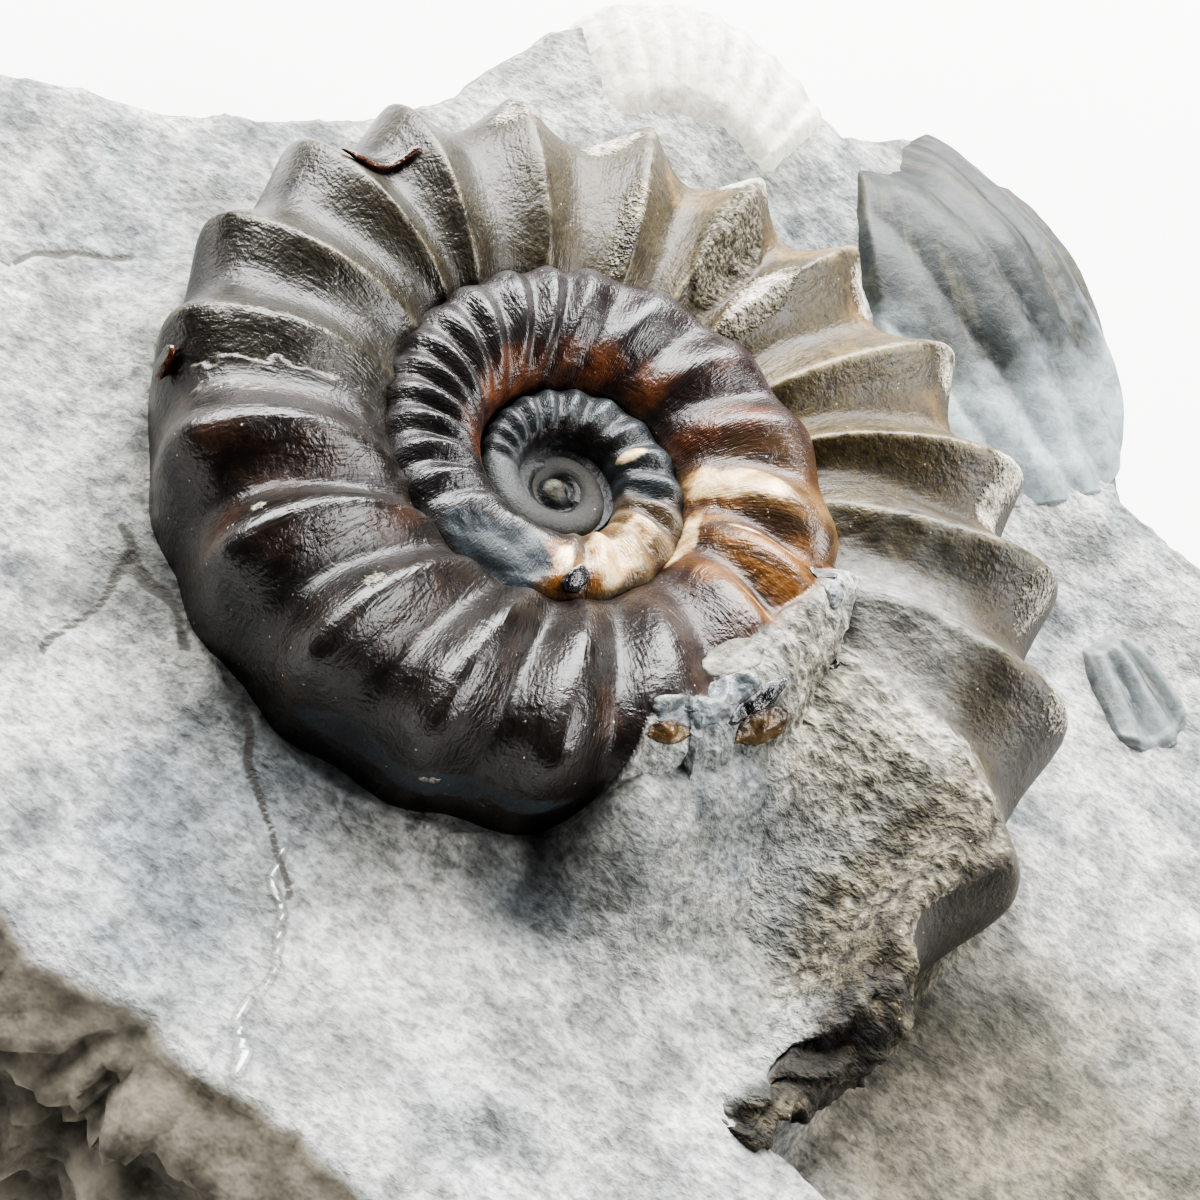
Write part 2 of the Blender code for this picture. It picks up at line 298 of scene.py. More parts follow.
def coil_radius(angle):
    """Outer radius: the reference radius times e to a falling power of the turns, times the
    oval, which two eases bend a little at the crushed mouth."""
    turns = (angle - REFERENCE_ANGLE) / 360.0
    oval = 1.0 + OVAL * np.cos(2.0 * np.radians(angle - OVAL_ANGLE))
    oval = oval - 0.04 * smooth(-angle / 24.0) + 0.02 * smooth((-28.0 - angle) / 12.0)
    return OUTER_RADIUS * np.exp(-GROWTH_RATE * turns - GROWTH_BEND * turns ** 2) * oval


def whorl_width(angle):
    """Half width as a part of the radius; the last coils close up over the axis."""
    return WHORL_WIDTH + 0.24 * smooth((angle - 1130.0) / 240.0)


def coil_mid_height(radius):
    """Height of a whorl's middle: a parabola, dished at the centre and low at the rim."""
    return COIL_LEVEL + 0.42 * radius - 0.02436 * radius ** 2


print("radius at each whorl, mm:", np.round(coil_radius(np.arange(0, 1100, 360.0)), 1))

# %% [markdown]
# ## Ribs
# Strong ribs cross every whorl. They are not evenly spaced on the real shell, so their
# crests are listed as angles, and the phase between two crests runs from one whole number
# to the next. On the last half turn the crests are sharp with wide hollows between them;
# on the older, darker part they are broad and round with narrow hollows.

# %% Rib pattern
RIB_CRESTS = (
    -64, -46, -30, -12, 8, 25, 40, 58, 76, 91, 107, 126, 144, 161, 181, 200, 222, 240, 258,
    276, 293, 312, 336, 356, 377, 405, 430, 455, 475, 486, 498, 512, 524, 536, 546, 557, 568,
    580, 593, 608, 622, 638, 653, 669, 689, 707, 726, 746, 768, 790, 812, 832, 849, 865, 881,
    895, 910, 925,
)
RIB_LEAN = (    # angle along the coil, degrees that the crest trails at the inner seam
    (-45, 3), (10, 4), (26, 5), (40, 11), (58, 5), (78, 6), (105, -3), (126, -3), (144, 0),
    (162, -9), (184, -9), (203, -4), (226, 6), (300, 6), (400, 7), (640, 6), (760, 4),
)
SHARPNESS = (   # angle along the coil, how sharp the crests are
    (-45, 0.75), (100, 0.85), (195, 0.8), (222, 0.12), (316, 0.10), (345, 0.12), (400, 0.2),
    (640, 0.22), (800, 0.3),
)
RIB_FADE = (    # angle along the coil, section angle under which the ribs begin to weaken
    (-45, 54), (110, 54), (150, 46), (215, 52), (312, 46), (345, 100), (1500, 100),
)
RIB_HEIGHT = (              # angle along the coil, hollow to crest as a part of the radius
    (-45, 0.075), (60, 0.084), (110, 0.078), (135, 0.068), (200, 0.058), (230, 0.088),
    (262, 0.080), (320, 0.074), (345, 0.088), (365, 0.090), (400, 0.080), (440, 0.070),
    (500, 0.062), (600, 0.060), (614, 0.01), (648, 0.01), (664, 0.08),
    (760, 0.10), (900, 0.085), (980, 0.03), (1060, 0.0),
)


def along_coil(table, angle):
    """Value between the listed angles, in straight steps."""
    places, values = zip(*table)
    return np.interp(angle, places, values)


def rib_phase(angle, section):
    """Whole numbers on the crests; the crest trails as the square of the distance inwards."""
    inward = np.clip((section - 60.0) / 85.0, 0.0, 1.3)
    shifted = angle - along_coil(RIB_LEAN, angle) * inward ** 2
    return np.interp(shifted, RIB_CRESTS, np.arange(len(RIB_CRESTS), dtype=float))


def rib_ridge(angle, section):
    """0 in the hollow, 1 on the crest: one minus a softened sine gives a sharp crest, a
    softened cosine gives a broad one with narrow hollows; the sharpness mixes them."""
    phase = np.pi * rib_phase(angle, section)
    sharp = 1.0 - np.sqrt(np.sin(phase) ** 2 + 0.02)
    narrow = (np.sqrt(np.cos(phase) ** 2 + 0.04) - 0.2) / 0.82
    waves = between(angle, 205.0, 262.0, 24.0)
    round_top = mixed(narrow, np.cos(phase) ** 2, 0.35 + 0.55 * waves)
    sharp = (sharp + 0.01) / 0.87
    return mixed(round_top, sharp, along_coil(SHARPNESS, angle))


def rib_strength(angle, section):
    """How high the ribs stand round the section: rising from the inner seam to the
    shoulder, then fading down the outer wall."""
    rise = smooth((178.0 - section) / 92.0)
    fade = 1.0 - 0.76 * smooth((along_coil(RIB_FADE, angle) - section) / 70.0)
    inside = smooth((section + 95.0) / 60.0)
    tiny = smooth((coil_radius(angle) - 1.3) / 2.2)
    return rise * fade * inside * tiny


print("ribs:", len(RIB_CRESTS), "of which on the outer whorl:", sum(c < 300 for c in RIB_CRESTS))

# %% [markdown]
# ## The lie of the stone
# The hardened mud round the shell dies out onto the stone, so the height of the stone's top
# is needed before the shell is made. It is a level, a lower step at the right, two swellings
# under the smaller shells and some soft noise.

# %% Outline and height of the stone
SLAB_LEVEL = 17.1           # mm, the mean height of the top
STEP_DROP = 2.4             # mm the right side lies lower
FAN_SWELLING = 3.9          # mm the stone rises under the pale fan
RIBBED_SWELLING = 1.8       # mm it rises under the ribbed shell
BANK = 4.9                  # mm the mud climbs up the inner whorl
BANK_REACH = 3.6            # mm over which it dies out
LIP = 1.0                   # mm the stone rises against the dark outer wall
SLAB_OUTLINE = (
    (36, 0), (33, 12), (26.5, 20.5), (21.5, 21), (19.8, 24), (18.2, 29), (14.2, 34),
    (9.5, 36.5), (4, 35), (1.4, 30.5), (-3.6, 32.2), (-8.8, 31.2), (-13, 24.6), (-14.8, 17.6),
    (-18.6, 12.4), (-23.6, 8), (-28.8, 5), (-33, -4), (-31, -14), (-22, -21),
    (-6, -24.5), (6, -25.7), (16, -27), (28, -24), (35, -14),
)


def slab_edge(angle):
    """Distance to the broken edge in each direction: on the chord between two corners."""
    x, y = np.array(SLAB_OUTLINE, float).T
    turn = np.mod(np.arctan2(y, x), math.tau)
    order = np.argsort(turn)
    turn, reach = turn[order], np.hypot(x, y)[order]
    turn = np.concatenate([[turn[-1] - math.tau], turn, [turn[0] + math.tau]])
    reach = np.concatenate([[reach[-1]], reach, [reach[0]]])
    angle = np.mod(angle, math.tau)
    i = np.clip(np.searchsorted(turn, angle) - 1, 0, len(turn) - 2)
    a0, a1, r0, r1 = turn[i], turn[i + 1], reach[i], reach[i + 1]
    return r0 * r1 * np.sin(a1 - a0) / (r0 * np.sin(angle - a0) + r1 * np.sin(a1 - angle))


def outer_wall(x, y):
    """Distance outside the widest line of the last whorl, negative under the coil."""
    angle = np.degrees(np.arctan2(y, x))
    angle = np.where(angle < APERTURE_ANGLE, angle + 360.0, angle)
    return np.hypot(x, y) - coil_radius(angle)


def mud_bank(x, y):
    """Mud heaped against the inner whorl beside the mouth: a bell of the distance from it."""
    angle = np.degrees(np.arctan2(y, x))
    away = np.hypot(x, y) - coil_radius(angle + 360.0)
    along = smooth((angle + 64.0) / 13.0) * smooth((10.0 - angle) / 20.0)
    bell = np.exp(-(np.maximum(away, 0.0) / BANK_REACH) ** 2)
    return BANK * along * smooth((away + 3.0) / 2.0) * bell


def slab_height(x, y):
    """Height of the stone's upper surface: a level, a few broad swellings, soft noise."""
    flat = np.stack([x, y, np.zeros_like(x)], axis=-1)
    z = np.full_like(x, SLAB_LEVEL)
    outside = np.hypot(x, y) - coil_radius(np.degrees(np.arctan2(y, x)))
    lower = smooth((outside + 0.6) / 1.4) * smooth((x - 8.0) / 6.0)
    lower = lower * smooth((y + 17.0 + 0.14 * (x - 18.0) + 0.3 * noise(flat, 2.0, 6)) / 1.3)
    z -= STEP_DROP * lower * (1.0 - smooth((y - 12.0) / 8.0))
    z += FAN_SWELLING * hump(x, y, -6.4, 27.4, 8.0, 7.5)
    z += RIBBED_SWELLING * hump(x, y, 11.0, 28.0, 8.0, 7.5)
    z += 0.45 * noise(flat, 11.0, 3) + 0.22 * noise(flat, 4.0, 9)
    near = smooth((1.0 - y - 0.3 * x) / 5.0) * smooth((9.0 - x) / 4.0)
    z += LIP * near * np.exp(-(outer_wall(x, y) / 1.7) ** 2)
    return z + mud_bank(x, y)


compass = np.radians(np.arange(0, 360, 90))
print("the block's edge lies at, mm:", np.round(slab_edge(compass), 1), "to each side")

# %% [markdown]
# ## The whorl's surface
# A whorl is a tube whose section is a rounded square, a superellipse. The section angle
# starts at the outer wall, is 90 on top and 180 at the inner seam. Ribs push the surface
# out along the section's own direction. Where the tube meets the next whorl inwards, the
# two simply pass into each other, as the real ones overlap.

# %% Section and coil surface
TOP_SKEW = 0.10             # how far the highest line leans to the outside
STRAIGHT = 0.85             # how far the wall goes straight down under its widest line


def section_circle(section):
    """Reach of the superellipse in each direction, 1 on the axes and a little more between."""
    c = np.abs(np.cos(np.radians(section)))
    s = np.abs(np.sin(np.radians(section)))
    return (c ** SECTION_SQUARENESS + s ** SECTION_SQUARENESS) ** (-1.0 / SECTION_SQUARENESS)


def place(angle, reach, height):
    """Point at a distance from the axis, in the direction of the angle."""
    a = np.radians(angle)
    return np.stack([reach * np.cos(a), reach * np.sin(a), height], axis=-1)


def whorl(angle, section, lift, size=1.0):
    """(reach, height): the section's middle plus the superellipse, plus lift outwards."""
    radius = coil_radius(angle)
    width = whorl_width(angle)
    q = section_circle(section) * size
    c = np.cos(np.radians(section))
    s = np.sin(np.radians(section))
    skew = TOP_SKEW * width * radius * np.maximum(s, 0.0) ** 2 * size
    upright = STRAIGHT * smooth((section + 88.0) / 40.0) * (section < 0.0) * size
    skew = skew + upright * width * radius * (1.0 - q / size * c)
    reach = radius * (1.0 - width) + (width * radius * q + lift) * c + skew
    height = coil_mid_height(radius) + (WHORL_THICKNESS * radius * q + lift) * s
    return reach, height


def depth_in_whorl(angle, reach, height):
    """Millimetres outside the bare tube at that angle of the coil, negative inside it."""
    radius = coil_radius(angle)
    width = whorl_width(angle)
    u = (reach - radius * (1.0 - width)) / (width * radius)
    v = (height - coil_mid_height(radius)) / (WHORL_THICKNESS * radius)
    n = SECTION_SQUARENESS
    return ((np.abs(u) ** n + np.abs(v) ** n) ** (1.0 / n) - 1.0) * WHORL_WIDTH * radius


def rib_lift(angle, section):
    """Ribs stand half above and half below the bare tube, with a knob on the shoulder."""
    radius = coil_radius(angle)
    ridge = rib_ridge(angle, section)
    wave = along_coil(RIB_HEIGHT, angle) * radius * rib_strength(angle, section) * (ridge - 0.5)
    knob = 0.012 * radius * ridge ** 2 * np.exp(-((section - 40.0) / 20.0) ** 2)
    return wave + knob * smooth((radius - 5.0) / 6.0)


def wandering(points):
    """Slow noise that bends the borders of mud, stains and broken shell."""
    return noise(points, 2.6, 41) + 0.5 * noise(points, 1.0, 43) + 0.25 * noise(points, 0.45, 47)


top_reach, top_height = whorl(0.0, 90.0, 0.0)
print("the last whorl's top is at, mm:", round(float(top_reach), 1), round(float(top_height), 1))

# %% [markdown]
# ## Mud on the shell
# The last eighth of a turn is the living chamber. It was full of mud, which has set hard and
# hides the shell's flank; it runs down onto the block like a ramp, and its broken end is a
# rough dark stub. A scab of the same mud is left in one hollow further back.

# %% Where the mud lies
MUD_ON_INNER_WHORL = (      # angle along the coil, section angle up to which mud covers it
    (301, -40), (305, 30), (307, 60), (314, 68), (322, 63), (327, 79), (337, 81), (349, 73),
    (358, 64), (366, 54), (374, 20), (380, -40),
)
FILLING = 6.0               # mm over which the mud rounds off the groove between two whorls


def sediment_cover(angle, section, wander):
    """Share of mud: behind a slanting border, above the shoulder, with a thin veil beyond;
    on the next whorl inwards, below a border that is listed by angle."""
    start = -5.0 + 0.07 * (section - 60.0) + 3.0 * wander
    full = smooth((start - angle) / 6.0 + 0.5) * smooth((section - 47.0 + 5.0 * wander) / 7.0)
    thin = smooth((32.0 - angle + 10.0 * wander) / 16.0) * smooth((section - 76.0) / 30.0)
    low = along_coil(MUD_ON_INNER_WHORL, angle) + 4.0 * wander
    inner = smooth((low - section) / 5.0 + 0.5) * (angle > 296.0)
    return np.maximum(np.maximum(full, 0.4 * thin), inner)


def broken_end(angle, section, wander):
    """The ragged dark stub at the broken end of the body chamber."""
    border = 66.0 + 9.0 * wander - 14.0 * smooth((-34.0 - angle) / 6.0)
    return smooth((-24.0 - angle + 3.0 * wander) / 4.0) * smooth((border - section) / 8.0)


def scab(angle, section):
    """A patch of coarse mud left in one hollow, on the flank: a soft-edged ellipse."""
    away = np.hypot((angle - 89.0 + 0.05 * (section - 100.0)) / 5.0, (section - 104.0) / 29.0)
    return smooth(3.6 - 3.0 * away)


def sinking(angle, section, wander):
    """Share of the height above the slab that is left where the mud dies out."""
    width = 22.0 + 16.0 * between(section, 80.0, 150.0, 30.0)
    kept = smooth((angle + 46.0 - 5.0 * smooth((section - 58.0) / 20.0) + 1.5 * wander) / width)
    return mixed(1.0, kept, smooth((section - 16.0) / 30.0))


def full_section(section, size):
    """Section angle of a full whorl with the same sideways reach as one shrunk to `size`."""
    same = np.sign(section) * np.degrees(np.arccos(size * np.cos(np.radians(section))))
    return np.where(np.abs(section) < 180.0, same, section)


def stone_tint(x, y):
    """How brown the stone is: most along the shell's rim by its mouth and in the seam of the
    mud, faint on the mud between them."""
    flat = np.stack([x, y, 0.0 * x], axis=-1)
    lump = 0.22 * noise(flat, 4.0, 83)
    angle = np.degrees(np.arctan2(y, x))
    crest = np.abs(np.hypot(x, y) - 20.0) / 3.2
    crest = crest + np.maximum(np.abs(angle + 12.0) - 15.0, 0.0) / 9.0
    body = 0.12 * smooth(1.5 - np.hypot((x - 15.0) / 10.0, (y + 8.0) / 8.0) + lump)
    seam = 0.8 * smooth(1.5 - np.hypot((x - 13.2) / 4.2, (y + 3.4) / 3.2) + 1.5 * lump)
    return np.maximum(np.maximum(smooth(1.5 - crest - lump), body), seam)


def stone_step_shade(x, y):
    """Share of painted shade, a warm grey, on the lower step of the stone: a patch by the broken
    end.
    """
    flat = np.stack([x, y, 0.0 * x], axis=-1)
    return smooth(1.6 - np.hypot((x - 28.0) / 9.0, (y + 11.0) / 8.5) + 0.3 * noise(flat, 3.0, 85))


print("mud on the mouth's top:", round(float(sediment_cover(-20.0, 90.0, 0.0)), 2),
      "and a quarter turn on:", round(float(sediment_cover(90.0, 90.0, 0.0)), 2))

# %% [markdown]
# ## Stains in the calcite
# The colour zones of the fossil follow its growth, so each stain is an ellipse on the shell,
# written as a place along the coil and a place round the section, with half its length and
# half its width in degrees. Noise bends its border. Each colour becomes one value on the
# points, and the material turns the values into colours.

# %% Stains
STAINS = {                  # colour: angle, section, half length, half width, strength
    "amber": (
        (229, 92, 4.5, 44, 0.9), (232, 38, 8, 18, 0.8), (213, 28, 3, 16, 0.7),
        (225, 60, 4, 14, 0.7), (243, 62, 4, 14, 0.7), (214, 92, 3, 30, 0.6),
        (247, 100, 4.0, 40, 0.9), (265, 88, 4.0, 34, 0.7), (283, 84, 3.0, 34, 0.6),
        (258, 14, 4, 8, 0.6), (301, 62, 3.0, 30, 0.9), (287, 40, 3, 16, 0.4),
        (318, 70, 3, 14, 0.6), (331, 96, 7, 70, 0.7), (350, 150, 14, 26, 0.8),
    ),
    "rust": (
        (410, 136, 9, 50, 0.8), (441, 150, 10, 40, 0.9), (470, 158, 22, 32, 1.0),
        (520, 160, 36, 32, 1.0), (565, 152, 16, 36, 0.9), (428, 100, 3, 30, 0.5),
    ),
    "ochre": (
        (350, 120, 14, 80, 1.0), (366, 60, 8, 30, 0.9), (650, 74, 8, 50, 0.8),
        (372, 150, 10, 24, 0.8), (660, 60, 9, 36, 0.9), (704, 120, 6, 20, 0.6),
    ),
    "gold": (
        (98, 76, 6, 20, 0.8), (82, 68, 6, 22, 0.9), (67, 66, 5, 24, 0.8), (50, 66, 5, 20, 0.5),
        (112, 70, 4, 18, 0.4), (64, 110, 4, 18, 0.4),
    ),
    "cream": (
        (384, 128, 7, 40, 1.0), (391, 156, 6, 18, 0.7), (364, 112, 2.0, 34, 0.6),
        (343, 96, 2.0, 30, 0.5), (676, 96, 14, 44, 0.9), (700, 110, 12, 26, 0.7),
        (772, 124, 6, 30, 0.9), (360, 160, 24, 10, 0.6), (652, 88, 4, 24, 0.6),
    ),
    "slate": (
        (267, 2, 8, 11, 0.9), (279, 0, 8, 12, 0.9), (291, 4, 7, 10, 0.6), (626, 66, 18, 40, 1.0),
        (740, 118, 12, 34, 0.6),
    ),
    "pale": (
        (92, 55, 4, 16, 0.9), (71, 53, 4, 15, 0.8), (57, 50, 4, 16, 0.7), (40, 55, 4, 16, 0.7),
        (35, 60, 3, 12, 0.8), (22, 51, 4, 12, 0.5), (8, 49, 3.5, 12, 0.45), (112, 62, 4, 14, 0.7),
        (127, 62, 4, 12, 0.6), (107, 118, 2.5, 30, 0.4), (79, 118, 4, 22, 0.7),
        (256, 84, 1.6, 7, 0.5), (236, 62, 1.2, 5, 0.5), (279, 4, 1.6, 4, 0.5),
        (-12, 60, 6, 8, 0.5), (-21, 58, 6, 7, 0.5), (-24, 50, 9, 3, 0.6),
    ),
    "dark": (
        (222, 150, 9, 24, 0.8), (240, 60, 5, 30, 0.6), (250, 75, 5, 46, 0.7),
        (312, 96, 5, 70, 0.7), (585, 100, 20, 90, 0.5), (835, 150, 66, 30, 1.0),
        (403, 60, 12, 40, 0.4), (30, 130, 4, 30, 0.3), (955, 96, 24, 60, 0.3),
        (372, 108, 2.6, 60, 0.6), (355, 100, 2.2, 60, 0.6), (395, 100, 2.4, 60, 0.6),
    ),
}


def stain_share(colour, angle, section, wander):
    """The strongest stain of one colour at each point: 1 inside the ellipse, easing to 0."""
    share = np.zeros(np.broadcast_shapes(np.shape(angle), np.shape(section)))
    for a, s, half_length, half_width, strength in STAINS[colour]:
        away = np.hypot((angle - a) / half_length, (section - s) / half_width)
        share = np.maximum(share, strength * smooth(1.45 - away - 0.25 * wander))
    return share


print("stains:", {colour: len(listed) for colour, listed in STAINS.items()})

# %% [markdown]
# ## The flaked layer and the seams
# The glossy outer layer of the shell has flaked off the last half turn, and the line where
# it stops is ragged. Where two whorls meet there is a seam: mud rounds it off broadly, and
# on bare shell only a narrow fillet is left. The distance to the next whorl drives both.

# %% Layer edge and seams
LAYER_EDGE = 207.0          # where the glossy outer layer of the shell ends, flaked off


def shell_layer(angle, section, points):
    """Share of the glossy layer and a thin line along its ragged edge."""
    ragged = 3.4 * noise(points, 2.2, 12) + 1.8 * noise(points, 0.8, 15)
    ragged = ragged + 0.8 * noise(points, 0.35, 18)
    past = angle - LAYER_EDGE - ragged + 0.02 * (section - 90.0)
    line = 0.55 * np.exp(-(past / 0.45) ** 2) * between(section, 48.0, 140.0, 12.0)
    crack = np.exp(-((past - 6.0 - ragged) / 0.35) ** 2) * between(section, 44.0, 84.0, 8.0)
    return smooth(past / 0.6 + 0.5), np.maximum(line, 0.8 * crack)


def groove_distances(angle, reach, height):
    """Millimetres to the next whorl inwards and to the next one outwards, if there is one."""
    inner = np.abs(depth_in_whorl(angle + 360.0, reach, height))
    outer = np.abs(depth_in_whorl(angle - 360.0, reach, height))
    return inner, np.where(angle > 315.0, outer, 99.0)


def groove_filling(angle, cover, inner, outer):
    """Millimetres that round off a seam: the square of the nearness to the next whorl, wide
    under mud and narrow on bare shell."""
    radius = coil_radius(angle)
    muddy = np.maximum(1.0 - np.minimum(inner, outer) / FILLING, 0.0)
    bare = np.maximum(1.0 - inner / (0.22 * radius + 0.1), 0.0)
    return cover * 0.25 * FILLING * muddy ** 2 + (1.0 - cover) * 0.055 * radius * bare ** 2


grooves = groove_distances(60.0, *whorl(60.0, 150.0, 0.0))
print("on the inner flank at 60 degrees the next whorl is", round(float(grooves[0]), 2), "mm away")

# %% [markdown]
# ## The finished surface of the coil
# Everything now adds up: the bare tube, its ribs, the mud, the stub, the flaked layer and
# fine lumps, each a share from 0 to 1 times a thickness in millimetres. The same function
# gives the values that the material needs.

# %% Coil surface
LAYER_THICKNESS = 0.14      # mm, and the other sizes below are millimetres too
SWELLING = 0.05
MUD_LUMPS, MUD_GRAIN = 0.30, 0.17
STUB_LUMPS, STUB_GRAIN, STUB_RISE = 0.45, 0.35, 0.2
SCAB_RISE, SCAB_GRAIN, SCAB_PITS = 0.12, 0.15, 0.40
SLATE_LOSS = 0.45           # the blue-grey patch has lost this much of its shell


def added_relief(angle, section, bare, lumps, fine, cover, stub, patch, layer, stains):
    """Millimetres on top of the ribs: each covering's share times its own lumps or
    thickness, less what the weathered patch has lost."""
    pits = np.maximum(noise(bare, 0.9, 88), 0.0)
    relief = SWELLING * noise(bare, 4.5, 77) * smooth(coil_radius(angle) / 10.0)
    relief = relief + cover * (MUD_LUMPS * lumps + MUD_GRAIN * fine)
    relief = relief + patch * (SCAB_RISE + SCAB_GRAIN * fine - SCAB_PITS * pits)
    relief = relief + stub * (STUB_LUMPS * lumps + STUB_GRAIN * fine + STUB_RISE)
    relief = relief + (0.010 + 0.012 * smooth((130.0 - angle) / 30.0)) * fine
    kept = smooth(layer) * (1.0 - smooth((angle - 222.0) / 12.0))
    relief = relief + LAYER_THICKNESS * kept * between(section, 48.0, 135.0, 14.0)
    relief = relief + 0.07 * fine * stains["pale"] * smooth((200.0 - angle) / 20.0)
    return relief - SLATE_LOSS * stains["slate"] * smooth((angle - 560.0) / 20.0)


def coil_surface(angle, section, size=1.0):
    """Points of the finished coil and the values that its material needs."""
    wander = wandering(place(angle, *whorl(angle, section, 0.0)))
    stains = {colour: stain_share(colour, angle, section, wander) for colour in STAINS}
    cover = sediment_cover(angle, section, wander)
    seen = full_section(section, size)
    stub = broken_end(angle, seen, wander)
    patch = scab(angle, section + 5.0 * wander)
    lift = rib_lift(angle, section) * (1.0 - 0.75 * cover)
    bare = place(angle, *whorl(angle, section, lift * size, size))
    lumps = rough(bare, 3.0, 5, 4, 0.55)
    fine = rough(bare, 1.1, 31, 4, 0.62)
    layer, layer_edge = shell_layer(angle, section, bare)
    lift = lift + added_relief(angle, section, bare, lumps, fine, cover, stub, patch, layer, stains)
    inner, outer = groove_distances(angle, *whorl(angle, section, lift * size, size))
    lift = lift + groove_filling(angle, cover, inner, outer)
    reach, height = whorl(angle, section, lift * size, size)
    x, y = reach * np.cos(np.radians(angle)), reach * np.sin(np.radians(angle))
    left = sinking(angle, seen, wander)
    ground = np.maximum(slab_height(x, y), SLAB_LEVEL - 0.3)
    ground = ground + stub * (0.35 * lumps + 0.2 * fine + 0.25)
    ground = ground - 0.3 * (1.0 - smooth(4.0 * left)) * smooth((seen - 56.0) / 12.0)
    height = np.where(height > ground, ground + (height - ground) * left, height)
    values = {
        "turn": angle / 360.0, "section": section / 180.0,
        "rib": np.clip(rib_ridge(angle, section), 0.0, 1.0),
        "mud": cover, "scab": patch, "stub": stub, "layer": layer, "layer_edge": layer_edge,
        "seam": np.exp(-(np.minimum(inner, outer) / 0.3) ** 2), "tint": stone_tint(x, y),
    }
    return place(angle, reach, height), {**values, **stains}


crest = coil_surface(np.array([[58.0]]), np.array([[90.0]]))[0][0, 0]
print("top of a rib crest at 58 degrees, mm:", [round(float(v), 1) for v in crest])

# %% [markdown]
# ## Building the coil in four lengths
# One mesh for the whole coil would be too heavy, so it is cut at three places. Each length
# runs a few rows past the cut and shrinks there, so its end hides inside the other and the
# surface reads as one. The broken end is rounded off like the end of a loaf.
# The steps between rows are as fine as the ribs need: finer on the large whorls.

# %% Coil meshes
TUCK = 5.0                  # degrees over which an end shrinks out of sight
END_ROUNDING = 6.0          # degrees over which the broken end closes
TUCKED_SIZE = 0.86          # size of a hidden end, as a part of the full whorl


def section_angles(dense, coarse):
    """Section angles round the tube: many over the part that is seen, few underneath."""
    seen = np.linspace(-38.0, 172.0, dense)
    under = np.linspace(172.0, 322.0, coarse + 2)[1:-1]
    return np.concatenate([seen, under])


def coil_length(name, start, stop, step, dense, coarse, rounded=False):
    """A stretch of the coil from one angle to another, with tucked or rounded ends."""
    angles = np.arange(start - (0.0 if rounded else TUCK), stop + TUCK, step)
    if rounded:
        into = np.clip((angles - start) / END_ROUNDING, 0.0, 1.0)
        size = np.sqrt(1.0 - (1.0 - into) ** 2) * 0.96 + 0.04
    else:
        size = mixed(TUCKED_SIZE, 1.0, smooth((angles - start + TUCK) / TUCK))
    size = size * mixed(TUCKED_SIZE, 1.0, smooth((stop + TUCK - angles) / TUCK))
    sections = section_angles(dense, coarse)
    a, s = np.meshgrid(angles, sections, indexing="ij")
    wrapped = np.where(s > 250.0, s - 360.0, s)
    points, values = coil_surface(a, wrapped, size[:, None])
    return loops_to_mesh(name, points, values)


coil_pieces = [
    coil_length("ammonite_body_chamber", APERTURE_ANGLE - 3.4, 134.0, 0.266, 110, 12, True),
    coil_length("ammonite_outer_whorl", 134.0, 323.0, 0.272, 110, 12),
    coil_length("ammonite_second_whorl", 323.0, 690.0, 0.40, 76, 8),
    coil_length("ammonite_inner_whorls", 690.0, 1500.0, 0.85, 46, 8),
]

# %% [markdown]
# ## Loose flakes
# Thin flakes of shell have lifted here and there, and chips and crumbs are stuck in the
# seams. Each is a small round sheet wrapped onto the coil: a disc of rings in the coil's own
# two angles, raised a little, with a ragged rim and an underside that is sunk in the shell.

# %% Flakes
TOP_RINGS, UNDER_RINGS = 9, 5
SUNK = 0.5                  # mm that the underside lies in the shell
FLAKES = (
    # name, (angle, section), long axis, wide axis in degrees, raised, thick, tilt in mm, seed
    ("amber_flake_top", (154.0, 77), (-6.8, 6.0), (1.5, 3.6), 0.20, 0.14, 0.06, 4),
    ("amber_flake_side", (206, 27), (0.8, -10.0), (1.3, 1.5), 0.30, 0.16, 0.10, 8),
    ("honey_flake_low", (329, 33), (5.0, -4.0), (1.4, 9.0), 0.02, 0.04, 0.02, 14),
    ("honey_flake_left", (311, 52), (3.8, -3.0), (0.8, 6.0), 0.02, 0.04, 0.02, 17),
    ("amber_flake_far", (-6, 138), (3.8, 1.0), (1.0, 9.0), 0.02, 0.04, 0.02, 12),
    ("grey_flake_long", (315, 60), (7.5, -8.0), (1.2, 8.0), 0.03, 0.05, 0.02, 21),
    ("grey_flake_end", (325, 63), (4.6, -4.0), (1.6, 8.0), 0.01, 0.04, -0.02, 27),
    ("dark_flake_band", (329, 48), (6.5, 1.0), (1.2, 7.0), 0.01, 0.03, 0.02, 30),
    ("pale_stone_chip", (328, 79), (6.4, -8.0), (1.6, 10.0), 0.0, 0.09, 0.03, 33),
    ("dark_stone_chip", (657, 62), (5.0, 1.0), (1.0, 17.0), 0.10, 0.42, 0.0, 39),
    ("seam_crumb_near", (358, 56), (2.4, 1.0), (0.3, 7.0), 0.02, 0.12, 0.0, 44),
    ("seam_crumb_far", (363, 62), (1.8, -1.0), (0.3, 6.0), 0.02, 0.10, 0.0, 51),
)


